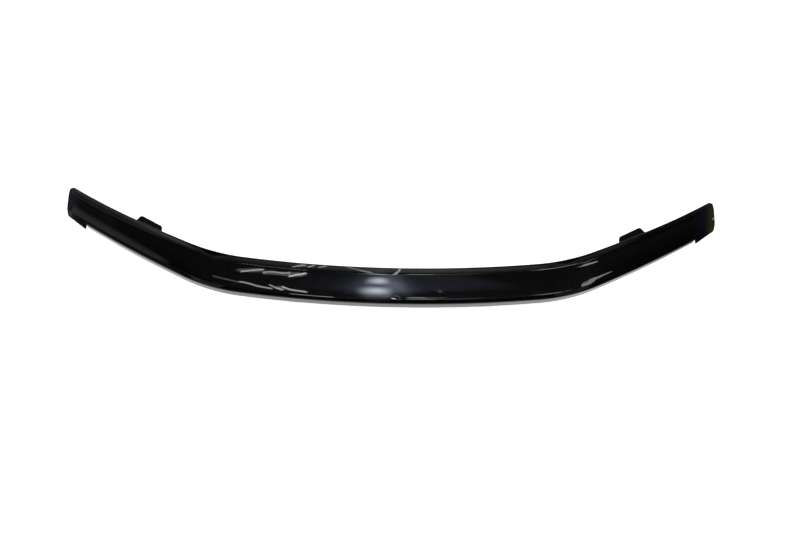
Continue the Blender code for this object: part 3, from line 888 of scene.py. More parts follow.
    def forming_tree(self) -> ShapeTree:
        """Build the tree that forms the blank: section first, then the bend along the nose line."""
        s, n = self.section, self.nose
        tree = ShapeTree("thermoforming")
        add = tree.add
        sizes = {name: tree.size(name, value) for name, value in (
            ("Face Centre", s.face_centre), ("Face Tip", s.face_tip), ("Taper Start", s.taper[0]),
            ("Taper End", s.taper[1]), ("Lean Centre", s.lean_centre), ("Lean Wing", s.lean_wing),
            ("Swing Start", s.swing[0]), ("Swing End", s.swing[1]), ("Upper Band", s.upper_band),
            ("Upper Kick", s.upper_kick), ("Upper Roll", s.upper_roll), ("Lower Band", s.lower_band),
            ("Lower Kick", s.lower_kick), ("Crown Radius", s.crown_radius), ("Tuck", s.tuck),
            ("Centre Radius", n.centre_radius), ("Centre Length", n.centre_length),
            ("Bend Radius", n.bend_radius), ("Bend Length", n.bend_length),
            ("Wing Radius", n.wing_radius), ("Rise", n.rise), ("Hood Edge", n.hood_edge))}
        facts = {name: add("GeometryNodeInputNamedAttribute", {"Name": name}, data_type="FLOAT")
                 for name in FORMING}
        side = add(MATH, (facts["run"],), operation="SIGN")
        run = add(MATH, (facts["run"],), operation="ABSOLUTE")
        lean, depth = (add(RANGE, {"Value": run, "From Min": sizes[start], "From Max": sizes[end],
                                   "To Min": sizes[centre], "To Max": sizes[wing]}, **SMOOTH)
                       for start, end, centre, wing in (
                           ("Swing Start", "Swing End", "Lean Centre", "Lean Wing"),
                           ("Taper Start", "Taper End", "Face Centre", "Face Tip")))

        # the section with its face laid flat: the two bands, and the crowned face between them
        upper_way, lower_way = (add(TURN, {"Vector": (1, 0, 0), "Angle": sizes[kick]}, **ABOUT_Z)
                                for kick in ("Upper Kick", "Lower Kick"))
        top = add("ShaderNodeCombineXYZ", (depth,))
        band = add(VECTOR, {0: upper_way, "Scale": sizes["Upper Band"]}, operation="SCALE")
        upper = add(VECTOR, (top, band), operation="SUBTRACT")
        lower = add(VECTOR, {0: lower_way, "Scale": sizes["Lower Band"]}, operation="SCALE")
        chord = add(VECTOR, (upper, lower), operation="SUBTRACT")
        width = add(VECTOR, (chord,), operation="LENGTH").outputs["Value"]
        shifted = add(MATH, (facts["shift"], width), operation="DIVIDE")
        share = add(MATH, (facts["share"], shifted), operation="ADD")
        rest = add(MATH, (1.0, share), operation="SUBTRACT")
        arch = add(MATH, (share, rest), operation="MULTIPLY")
        slope = add(MATH, (width, sizes["Crown Radius"]), operation="DIVIDE")
        half_slope = add(MATH, (slope, 0.5), operation="MULTIPLY")
        swell = add(MATH, (half_slope, arch), operation="MULTIPLY")
        square_on = add(TURN, {"Vector": chord, "Angle": pi / 2}, **ABOUT_Z)
        crown = add(VECTOR, {0: square_on, "Scale": swell}, operation="SCALE")
        spot = add(VECTOR, (chord, share, lower), operation="MULTIPLY_ADD")
        spot = add(VECTOR, (spot, crown), operation="ADD")
        climb = add(RANGE, {"Value": facts["upper"], "From Max": sizes["Upper Band"],
                            "To Min": -0.5, "To Max": 0.0})
        roll = add(MATH, (climb, sizes["Upper Roll"]), operation="MULTIPLY")
        rolled_way = add(TURN, {"Vector": upper_way, "Angle": roll}, **ABOUT_Z)
        spot = add(VECTOR, (rolled_way, facts["upper"], spot), operation="MULTIPLY_ADD")
        fallen = add(VECTOR, {0: lower_way, "Scale": facts["lower"]}, operation="SCALE")
        spot = add(VECTOR, (spot, fallen), operation="SUBTRACT")
        lift = add("ShaderNodeCombineXYZ", {1: facts["rim"]})
        spot = add(VECTOR, (spot, lift), operation="ADD")
        leaned = add(TURN, {"Vector": spot, "Angle": lean}, **ABOUT_Z)

        # the flange tucks under, or beyond the slot goes on down as a flat skirt; ears fold back level
        tucked = add(TURN, {"Vector": (0, -1, 0), "Angle": sizes["Tuck"]}, **ABOUT_Z)
        skirt = add(TURN, {"Vector": lower_way, "Angle": lean}, **ABOUT_Z)
        skirt = add(VECTOR, {0: skirt, "Scale": -1.0}, operation="SCALE")
        fall = add(MIX, {"Factor": facts["skirt"], 4: tucked, 5: skirt}, data_type="VECTOR").outputs[1]
        placed = add(VECTOR, (fall, facts["down"], leaned), operation="MULTIPLY_ADD")
        ear = add("ShaderNodeCombineXYZ", (facts["ear"],))
        placed = add(VECTOR, (placed, ear), operation="ADD")

        # the plan: the middle's arc, the bend's and the wing's, each tangent to the one before
        bend_end = add(MATH, (sizes["Centre Length"], sizes["Bend Length"]), operation="ADD")
        heading: Any = 0.0
        spoke: Any = (0, -1, 0)
        plan: Any = (0, 0, 0)
        for first, last, radius in ((0.0, sizes["Centre Length"], sizes["Centre Radius"]),
                                    (sizes["Centre Length"], bend_end, sizes["Bend Radius"]),
                                    (bend_end, FAR, sizes["Wing Radius"])):
            held = add("ShaderNodeClamp", {"Value": run, "Min": first, "Max": last})
            gone = add(MATH, (held, first), operation="SUBTRACT")
            turn = add(MATH, (gone, radius), operation="DIVIDE")
            heading = add(MATH, (heading, turn), operation="ADD")
            after = add(TURN, {"Vector": (0, -1, 0), "Angle": heading}, **ABOUT_Z)
            moved = add(VECTOR, (after, spoke), operation="SUBTRACT")
            plan = add(VECTOR, (moved, radius, plan), operation="MULTIPLY_ADD")
            spoke = after
        signed_heading = add(MATH, (heading, side), operation="MULTIPLY")
        across, back = add("ShaderNodeSeparateXYZ", (plan,)).outputs[:2]
        x = add(MATH, (across, side), operation="MULTIPLY")
        y = add(MATH, (back, sizes["Hood Edge"]), operation="SUBTRACT")
        z = add(MATH, (back, sizes["Rise"]), operation="MULTIPLY")
        nose_point = add("ShaderNodeCombineXYZ", (x, y, z))
        flat = add("ShaderNodeSeparateXYZ", (placed,))
        upright = add("ShaderNodeCombineXYZ", {1: flat.outputs[0], 2: flat.outputs[1]})
        turned = add(TURN, {"Vector": upright, "Angle": signed_heading}, **ABOUT_Z)
        final = add(VECTOR, (nose_point, turned), operation="ADD")
        formed = add("GeometryNodeSetPosition", {"Geometry": tree.geometry, "Position": final})
        tree.close(formed, self.finish)
        return tree

    def build(self) -> bpy.types.Object:
        """Form the blank, give it its thickness, drill its ears and round its cut edges.

        Returns:
            The finished shield.
        """
        shield = self.blank()
        self.forming_tree().use_on(shield)
        add_modifier(shield, "sheet", "SOLIDIFY", thickness=self.section.sheet, offset=-1.0,
                     use_even_offset=True, use_quality_normals=True)
        drills = Cutters("ear_drills")
        for side in Side:
            for run in self.ears.runs(self.nose):
                centre = run == self.ears.centre_station
                station = run if centre else self.ears.side_station(self.nose)
                spot = Vector((side.value * (run - station), self.ears.hole_setback(self.section), 0.0))
                drills.add_slot(bracket_frame(side.value * station) @ Matrix.Translation(spot),
                                self.ears.hole_radius)
        drill_and_round(shield, drills.finish(), self.edge_round, facets=2, sharp=radians(60))
        return self.finish.complete(shield, "shield")


class Cutters:
    """A cutting tool made of round and slotted drills, held in one mesh."""

    def __init__(self, name: str, sides: int = 32, reach: float = 0.02) -> None:
        """Start an empty tool.

        Args:
            name: Name of the tool.
            sides: Facets round a drill.
            reach: How far each drill reaches to both sides of its plane.
        """
        self.name, self.sides, self.reach = name, sides, reach
        self.bm = bmesh.new()

    def add_slot(self, place: Matrix, radius: float, travel: float = 0.0) -> None:
        """Add a drill, or a slot mill that travels along the place's Y."""
        outline = []
        for half, shift in ((0, travel / 2), (1, -travel / 2)):
            for step in range(self.sides // 2 + (1 if travel else 0)):
                angle = pi * half + tau * step / self.sides
                outline.append((radius * cos(angle), radius * sin(angle) + shift))
        low, high = ([self.bm.verts.new(place @ Vector((x, y, z))) for x, y in outline]
                     for z in (-self.reach, self.reach))
        self.bm.faces.new(reversed(low))
        self.bm.faces.new(high)
        add_wall(self.bm, high, low)

    def finish(self) -> bpy.types.Object:
        """Turn the tool into a hidden object."""
        tool = add_mesh(self.name, self.bm)
        tool.hide_render = True
        return tool


# Brackets


@dataclass
class Bracket:
    """A painted steel strap on the ears, whose tongue ends in a short turned-down lip."""

    corners: Pairs
    holes: Pairs
    slot: tuple[float, float]
    corner_radius: float = 0.004
    corner_facets: int = 8
    lip: float = 0.005
    lip_slope: float = radians(60)
    lip_bend: float = 0.001
    lip_facets: int = 5
    slot_travel: float = 0.010
    edge_round: float = 0.0004
    finish: Finish = STRAP_PAINT

    def sheet(self, name: str) -> bpy.types.Object:
        """Lay out the strap's top side, with its lip, in the bracket's frame."""
        points = [Vector(corner) for corner in self.corners]
        outline: list[Vector] = []
        for corner, before, after in zip(points, points[-1:] + points[:-1], points[1:] + points[:1]):
            outline += bend(corner + (before - corner).normalized() * self.corner_radius, corner,
                            corner + (after - corner).normalized() * self.corner_radius, self.corner_facets)
        bm = bmesh.new()
        ring = [bm.verts.new((point.x, point.y, STRAP_TOP)) for point in outline]
        bm.faces.new(ring)
        tongue = 3 * (self.corner_facets + 1)   # first vertex of the fourth corner, where the tongue ends
        edge = ring[tongue - 1:tongue + 1]
        drop = ray(self.lip, -self.lip_slope)
        start = Vector((self.lip_bend, 0.0))
        path = bend(Vector((0.0, 0.0)), start, start + drop.normalized() * self.lip_bend, self.lip_facets)
        for point in path[1:] + [drop]:
            moved = [bm.verts.new((vert.co.x, self.corners[2][1] + point.x, STRAP_TOP + point.y))
                     for vert in edge]
            bm.faces.new((edge[0], moved[0], moved[1], edge[1]))
            edge = moved
        bmesh.ops.recalc_face_normals(bm, faces=bm.faces)
        if sum(face.normal.z * face.calc_area() for face in bm.faces) < 0:
            bmesh.ops.reverse_faces(bm, faces=bm.faces)
        return add_mesh(name, bm)

    def build(self, name: str, place: Matrix) -> bpy.types.Object:
        """Make one strap in its place.

        Args:
            name: CAD node that it stands for.
            place: The bracket's frame.

        Returns:
            The finished strap.
        """
        strap = self.sheet(name + "_strap")
        drills = Cutters(name + "_drills")
        for x, y in self.holes:
            drills.add_slot(Matrix.Translation((x, y, 0.0)), EARS.hole_radius)
        drills.add_slot(Matrix.Translation((*self.slot, 0.0)), EARS.hole_radius, self.slot_travel)
        add_modifier(strap, "strap", "SOLIDIFY", thickness=STRAP, offset=-1.0, use_even_offset=True)
        drill_and_round(strap, drills.finish(), self.edge_round, facets=3, sharp=radians(50))
        strap.data.transform(place)
        return self.finish.complete(strap, name)


# Pieces that repeat


@dataclass
class Repeated:
    """A small piece that repeats, placed by a tree at frames stored on points.

    Attributes:
        name: Name of the finished piece.
        finish: Its finish.
        spots: For each copy, the CAD node that it stands for and its frame.
    """

    name: str
    finish: Finish
    spots: list[tuple[str, Matrix]] = field(default_factory=list)

    def pattern(self, name: str) -> bpy.types.Object:
        """Model one copy in its own frame."""
        raise NotImplementedError

    def placing_tree(self, pattern: bpy.types.Object) -> ShapeTree:
        """Build the tree that sets a copy at each point, turned as the point says."""
        tree = ShapeTree(self.name + "_placing")
        piece = tree.size("Piece", pattern, "NodeSocketObject")
        info = tree.add("GeometryNodeObjectInfo", {"Object": piece, "As Instance": True})
        turn = tree.add("GeometryNodeInputNamedAttribute", {"Name": "turn"}, data_type="FLOAT_VECTOR")
        rotation = tree.add("FunctionNodeEulerToRotation", (turn,))
        copies = tree.add("GeometryNodeInstanceOnPoints",
                          {"Points": tree.geometry, "Instance": info.outputs["Geometry"],
                           "Rotation": rotation})
        tree.close(copies, self.finish)
        return tree

    def build(self) -> bpy.types.Object:
        """Place all the copies as one piece.

        Returns:
            The finished piece, which stands for every node in its list.
        """
        pattern = self.pattern(self.name + "_pattern")
        bm = bmesh.new()
        for _, place in self.spots:
            bm.verts.new(place.translation)
        piece = add_mesh(self.name, bm)
        turns = piece.data.attributes.new("turn", "FLOAT_VECTOR", "POINT")
        for turn, (_, place) in zip(turns.data, self.spots):
            turn.vector = place.to_euler()
        self.placing_tree(pattern).use_on(piece)
        settle(piece, pattern)
        return self.finish.complete(piece, *(node for node, _ in self.spots))


def revolve(profile: Pairs, name: str, sides: int = 40) -> bpy.types.Object:
    """Turn a profile of (radius, height) points round Z."""
    bm = bmesh.new()
    verts = [bm.verts.new((radius, 0.0, z)) for radius, z in profile]
    edges = [bm.edges.new(pair) for pair in zip(verts, verts[1:])]
    bmesh.ops.spin(bm, geom=verts + edges, cent=(0, 0, 0), axis=(0, 0, 1), angle=tau, steps=sides,
                   use_merge=True)
    bmesh.ops.remove_doubles(bm, verts=bm.verts, dist=1e-6)
    bmesh.ops.recalc_face_normals(bm, faces=bm.faces)
    return add_mesh(name, bm)


@dataclass
class Screws(Repeated):
    """Pan-head screws with a cross recess and a rolled thread, pointing up from z = 0.

    Attributes:
        head_side: Share of the head's height that stands up straight.
        core_depth: How far the shank's core lies inside its radius.
        ridge: Radius of the thread's ridge, whose middle lies ridge_depth inside the radius.
        runout: Shank left plain under the head.
        break_edge: Chamfer under the head's rim.
        point: Chamfer of the shank's end.
        recess_arms: Reach and half width of the recess's arms, above the head and at its bottom.
        overshoot: How far above the head the first of the two lies.
        dome: Angles of the head's rounded top, in degrees from the axis.
    """

    length: float = 0.015
    radius: float = 0.0025
    head_radius: float = 0.0048
    head_height: float = 0.003
    head_side: float = 0.45
    pitch: float = 0.0008
    core_depth: float = 0.0002
    ridge: float = 0.00028
    ridge_depth: float = 0.00022
    runout: float = 0.0014
    break_edge: float = 0.0002
    point: float = 0.0008
    recess_arms: Pairs = ((0.00224, 0.00048), (0.0008, 0.000352))
    recess_depth: float = 0.0015
    overshoot: float = 0.0005
    dome: tuple[int, ...] = (0, 20, 35, 50, 65, 80, 90)

    def thread_tree(self) -> ShapeTree:
        """Build the tree that winds a helical ridge round the shank."""
        tree = ShapeTree(self.name + "_thread")
        pitch = tree.size("Pitch", self.pitch)
        radius = tree.size("Radius", self.radius - self.ridge_depth)
        height = tree.size("Height", self.length - self.runout - self.point)
        turns = tree.add(MATH, (height, pitch), operation="DIVIDE")
        helix = tree.add("GeometryNodeCurveSpiral", {"Resolution": 20, "Rotations": turns,
                                                     "Start Radius": radius, "End Radius": radius,
                                                     "Height": height})
        raised = tree.add("GeometryNodeTransform", {"Geometry": helix, "Translation": (0, 0, self.runout)})
        ridge = tree.add("GeometryNodeCurvePrimitiveCircle", {"Resolution": 4, "Radius": self.ridge})
        thread = tree.add("GeometryNodeCurveToMesh", {"Curve": raised, "Profile Curve": ridge,
                                                      "Fill Caps": True})
        both = tree.add("GeometryNodeJoinGeometry", (thread,))
        set_inputs(both, (tree.geometry,))
        tree.close(both, self.finish)
        return tree

    def pattern(self, name: str) -> bpy.types.Object:
        """Turn the head and shank, sink the recess and add the thread."""
        high, head, edge = self.head_height, self.head_radius, self.break_edge
        core = self.radius - self.core_depth
        dome = [(head * sin(angle), -high * lerp(self.head_side, 1.0, cos(angle)))
                for angle in map(radians, self.dome)]
        screw = revolve(dome + [(head, -edge), (head - edge, 0.0), (core, 0.0),
                                (core, self.length - self.point), (core - self.point, self.length),
                                (0.0, self.length)], name)
        bm = bmesh.new()
        rings = []
        for (reach, blade), z in zip(self.recess_arms, (-high - self.overshoot, self.recess_depth - high)):
            arm = ((reach, -blade), (reach, blade), (blade, blade))
            rings.append([bm.verts.new((x * cos(turn) - y * sin(turn), x * sin(turn) + y * cos(turn), z))
                          for turn in (pi / 2 * quarter for quarter in range(4)) for x, y in arm])
            bm.faces.new(rings[-1])
        add_wall(bm, *reversed(rings))
        bmesh.ops.recalc_face_normals(bm, faces=bm.faces)
        driver = add_mesh(self.name + "_driver", bm)
        driver.hide_render = True
        add_modifier(screw, "recess", "BOOLEAN", operation="DIFFERENCE", solver="EXACT", object=driver)
        self.thread_tree().use_on(screw)
        settle(screw, driver)
        return screw


@dataclass
class Nuts(Repeated):
    """Hexagon nuts with chamfered corners, from z = 0 up.

    Attributes:
        flats: Width across the flats.
        face: Radius of the end faces, as a share of half that width.
        chamfer: Fall of the chamfer for each unit outwards.
        sides: Facets round the nut.
    """

    flats: float = 0.008
    height: float = 0.004
    bore: float = 0.0026
    face: float = 0.97
    chamfer: float = 0.5
    sides: int = 72

    def pattern(self, name: str) -> bpy.types.Object:
        """Loft the nut from its bore out over the chamfers."""
        half, height = self.flats / 2, self.height
        rim = half * self.face
        loops = []
        for step in range(self.sides):
            angle = tau * step / self.sides
            hexagon = half / cos((angle + pi / 6) % (pi / 3) - pi / 6)
            fall = max(hexagon - rim, 0.0) * self.chamfer
            loops.append([(radius * cos(angle), radius * sin(angle), z) for radius, z in (
                (self.bore, 0.0), (self.bore, height), (rim, height), (hexagon, height - fall),
                (hexagon, fall), (rim, 0.0))])
        bm = bmesh.new()
        rings = [[bm.verts.new(point) for point in ring] for ring in zip(*loops)]
        for first, second in zip(rings, rings[1:] + rings[:1]):
            add_wall(bm, first, second)
        bmesh.ops.recalc_face_normals(bm, faces=bm.faces)
        return add_mesh(name, bm)


@dataclass
class Washers(Repeated):
    """Soft moulded washers with rounded rims, from z = 0 up."""

    bore: float = 0.0027
    rim: float = 0.0062
    thickness: float = 0.0012
    soft_share: float = 0.3
    facets: int = 4

    def pattern(self, name: str) -> bpy.types.Object:
        """Turn the washer's section."""
        thick, inner = self.thickness, self.rim - self.thickness * self.soft_share
        middle = Vector((self.rim, thick / 2))
        outer = (bend(Vector((inner, thick)), Vector((self.rim, thick)), middle, self.facets)
                 + bend(middle, Vector((self.rim, 0.0)), Vector((inner, 0.0)), self.facets))
        return revolve([(self.bore, 0.0), (self.bore, thick), *(tuple(point) for point in outer),
                        (self.bore, 0.0)], name)


@dataclass
class HoodClips(Repeated):
    """Folded spring-steel clips, open to the rear, with a screw hole and a flared lead-in."""

    steel: float = 0.001
    width: float = 0.020
    length: float = 0.026
    height: float = 0.0055
    fold_facets: int = 16
    flare: float = 0.002
    flare_facets: int = 5
    hole_radius: float = 0.003
    edge_round: float = 0.00022

    def pattern(self, name: str) -> bpy.types.Object:
        """Fold the strip, drill it and round its edges."""
        front, rear = -self.length / 2, self.length / 2
        low, high = self.steel, self.height - self.steel
        radius = (high - low) / 2
        path = [Vector((y, low)) for y in (rear, rear / 2, 0.0, front / 2)]
        for step in range(self.fold_facets + 1):
            path.append(Vector((front + radius, low + radius))
                        + ray(radius, -pi / 2 - pi * step / self.fold_facets))
        path += [Vector((y, high)) for y in (front / 2, 0.0, rear / 2)]
        path += bend(Vector((rear - self.flare * 2, high)), Vector((rear - self.flare, high)),
                     Vector((rear, high + self.flare)), self.flare_facets)
        bm = bmesh.new()
        rows = [[bm.verts.new((x, *point)) for x in (-self.width / 2, self.width / 2)] for point in path]
        for (near_left, near_right), (far_left, far_right) in zip(rows, rows[1:]):
            bm.faces.new((near_left, far_left, far_right, near_right))
        clip = add_mesh(name, bm)
        drill = Cutters(self.name + "_drill")
        drill.add_slot(Matrix.Identity(4), self.hole_radius)
        add_modifier(clip, "steel", "SOLIDIFY", thickness=self.steel, offset=-1.0, use_even_offset=True)
        drill_and_round(clip, drill.finish(), self.edge_round, facets=2, sharp=radians(50))
        return clip


@dataclass
class FoamPads(Repeated):
    """Anti-chatter pads of foam rubber with soft edges, their stuck face at z = 0."""

    length: float = 0.030
    width: float = 0.010
    height: float = 0.006
    soft_edge: float = 0.0015
    longest_edge: float = 0.005
    pinch: float = 0.035

    def pattern(self, name: str) -> bpy.types.Object:
        """Model the block, a little pinched where the knife cut it."""
        bm = bmesh.new()
        block = Matrix.Translation((0, 0, self.height / 2)) @ Matrix.Diagonal(
            (self.length, self.width, self.height, 1.0))
        bmesh.ops.create_cube(bm, size=1.0, matrix=block)
        bmesh.ops.bevel(bm, geom=list(bm.edges), offset=self.soft_edge, segments=4, profile=0.6,
                        affect="EDGES")
        long_edges = [edge for edge in bm.edges if edge.calc_length() > self.longest_edge]
        bmesh.ops.subdivide_edges(bm, edges=long_edges, cuts=6, use_grid_fill=True)
        for vert in bm.verts:
            waist = 1.0 - self.pinch * (1.0 - (2.0 * vert.co.z / self.height - 1.0) ** 2)
            vert.co.x *= 1.0 - (1.0 - waist) * self.width / self.length
            vert.co.y *= waist
            vert.co.z = max(vert.co.z, 0.0)
        return add_mesh(name, bm)


@dataclass
class Mounting:
    """Everything behind the shield: brackets, fasteners, hood clips and pads.

    Attributes:
        side_corners: Strap of the right side bracket, in its frame. Corners with a Y of at most
            front_reach are measured from the strap's front edge, here and in centre_corners.
        setback: How far that edge lies behind the ears' front.
        clip_setback: Y of the hood clips in their brackets' frames; on the side brackets they lie
            clip_offset to the outside.
        proud: How far a screw stands out of its nut or clip.
        pad_stations: Runs of the two inner pads on each side.
        pad_setbacks: Distances of the two outer pads from the tip.
        pad_share: Place of the pads up the main face.
    """

    side_corners: Pairs = ((-0.055, 0.0), (0.0565, 0.0), (0.0565, 0.109), (-0.0015, 0.109), (-0.055, 0.018))
    centre_corners: Pairs = ((-0.026, 0.0), (0.026, 0.0), (0.018, 0.085), (-0.018, 0.085))
    front_reach: float = 0.02
    setback: float = 0.0023
    clip_setback: float = 0.062
    clip_offset: float = 0.0275
    proud: float = 0.0015
    pad_stations: tuple[float, ...] = (0.075, 0.275)
    pad_setbacks: tuple[float, ...] = (0.2546, 0.0996)
    pad_share: float = 0.72

    def pad_place(self, side: Side, run: float) -> Matrix:
        """A pad's frame behind the face: X along the shield, Z away from the sheet."""
        offset, normal = SECTION.main_face(run, self.pad_share)
        point, heading = NOSE.at(side.value * run)
        along = NOSE.along(heading)
        back = Vector((-sin(heading), cos(heading), 0.0))
        seat = point + back * offset.x + Vector((0.0, 0.0, offset.y))
        inward = (back * normal.y - Vector((0.0, 0.0, normal.x))).cross(along).normalized()
        rotation = Matrix((along, inward.cross(along), inward)).transposed().to_4x4()
        return Matrix.Translation(seat + inward * (SECTION.sheet + GAP)) @ rotation

    def build(self) -> None:
        """Build the four brackets with what they carry, and the pads."""
        hole_y = EARS.hole_setback(SECTION)
        front = hole_y - EARS.reach / 2 + self.setback
        above = STRAP_TOP + GAP
        under_ear, under_strap = -GAP - Washers.thickness, SECTION.sheet - Washers.thickness
        shield_reach = Washers.thickness + 2 * GAP + above + Nuts.height + self.proud
        clip_reach = Washers.thickness + 3 * GAP + STRAP + HoodClips.height + self.proud
        groups = {
            "shield_washer": Washers("shield_washers", RUBBER),
            "shield_screw": Screws("shield_screws", ZINC, length=shield_reach),
            "shield_nut": Nuts("shield_nuts", ZINC),
            "hood_clip": HoodClips("hood_clips", SPRING_STEEL),
            "clip_washer": Washers("clip_washers", RUBBER),
            "clip_screw": Screws("clip_screws", ZINC, length=clip_reach)}
        pads = FoamPads("foam_pads", FOAM)
        for side in Side:
            for kind, station, mirrored, corners, ends, clip_x in (
                    ("side", EARS.side_station(NOSE), side.value, self.side_corners,
                     {"_inner": -EARS.spacing / 2, "_outer": EARS.spacing / 2}, self.clip_offset),
                    ("centre", EARS.centre_station, 1, self.centre_corners, {"": 0.0}, 0.0)):
                prefix = f"{side.label}_{kind}"
                place = bracket_frame(side.value * station)
                outline = [(mirrored * x, y if y > self.front_reach else y + front) for x, y in corners]
                clip_at = (side.value * clip_x, self.clip_setback)
                holes = {suffix: (side.value * x, hole_y) for suffix, x in ends.items()}
                Bracket(outline, list(holes.values()), clip_at).build(prefix + "_bracket", place)
                spots = [(group, suffix, hole, height) for suffix, hole in holes.items()
                         for group, height in (("shield_washer", under_ear),
                                               ("shield_screw", under_ear - GAP), ("shield_nut", above))]
                spots += [(group, "", clip_at, height)
                          for group, height in (("hood_clip", above), ("clip_washer", under_strap),
                                                ("clip_screw", under_strap - GAP))]
                for group, suffix, spot, height in spots:
                    groups[group].spots.append((f"{prefix}_{group}{suffix}",
                                                place @ Matrix.Translation((*spot, height))))
            runs = self.pad_stations + tuple(NOSE.tip - setback for setback in self.pad_setbacks)
            for number, run in enumerate(runs, start=1):
                pads.spots.append((f"{side.label}_pad_{number}", self.pad_place(side, run)))
        for group in groups.values():
            group.build()
        pads.build()


# The studio


COOL = linear("#EAF3FF")
HAZE = linear("#C9D6FF")
NEUTRAL = linear("#FFFFFA")
WHITE = linear("#FFFFFF")


@dataclass(frozen=True)
class SoftCard:
    """A ribbon of soft light far from the object, which only gloss sees.

    Attributes:
        rungs: Azimuth from straight ahead and elevation of the ribbon's one edge, then of its other
            edge, in degrees, for each rung along it.
        strength: Brightness, where 1 is white.
        feather: Share of the half width that fades out, across the ribbon and along it.
        colour: Colour of the light.
    """

    rungs: tuple[tuple[float, float, float, float], ...]
    strength: float
    feather: tuple[float, float] = (0.5, 0.15)
    colour: Colour = NEUTRAL

    def hang(self, bm: bmesh.types.BMesh, distance: float, nearer: float) -> None:
        """Add the ribbon to a mesh, with its light and its spread stored for the material.

        Args:
            bm: Mesh that holds every card.
            distance: How far away the ribbon hangs.
            nearer: How much nearer it hangs for each unit of its strength, so that bright ribbons
                lie in front of faint ones.
        """
        light, feather = (bm.verts.layers.float_vector[name] for name in ("light", "feather"))
        spread_map = bm.loops.layers.uv["spread"]
        rows = []
        for place, rung in enumerate(self.rungs):
            row = []
            for side, azimuth, elevation in ((-1, *rung[:2]), (1, *rung[2:])):
                turn, climb = radians(azimuth), radians(elevation)
                way = Vector((sin(turn) * cos(climb), -cos(turn) * cos(climb), sin(climb)))
                vert = bm.verts.new(way * (distance - nearer * self.strength))
                vert[light] = Vector(self.colour[:3]) * self.strength
                vert[feather] = Vector((*self.feather, 0.0))
                row.append((vert, (side, lerp(-1, 1, place / (len(self.rungs) - 1)))))
            rows.append(row)
        for near, far in zip(rows, rows[1:]):
            corners = (near[0], near[1], far[1], far[0])
            face = bm.faces.new([vert for vert, _ in corners])
            for loop, (_, spot) in zip(face.loops, corners):
                loop[spread_map].uv = spot


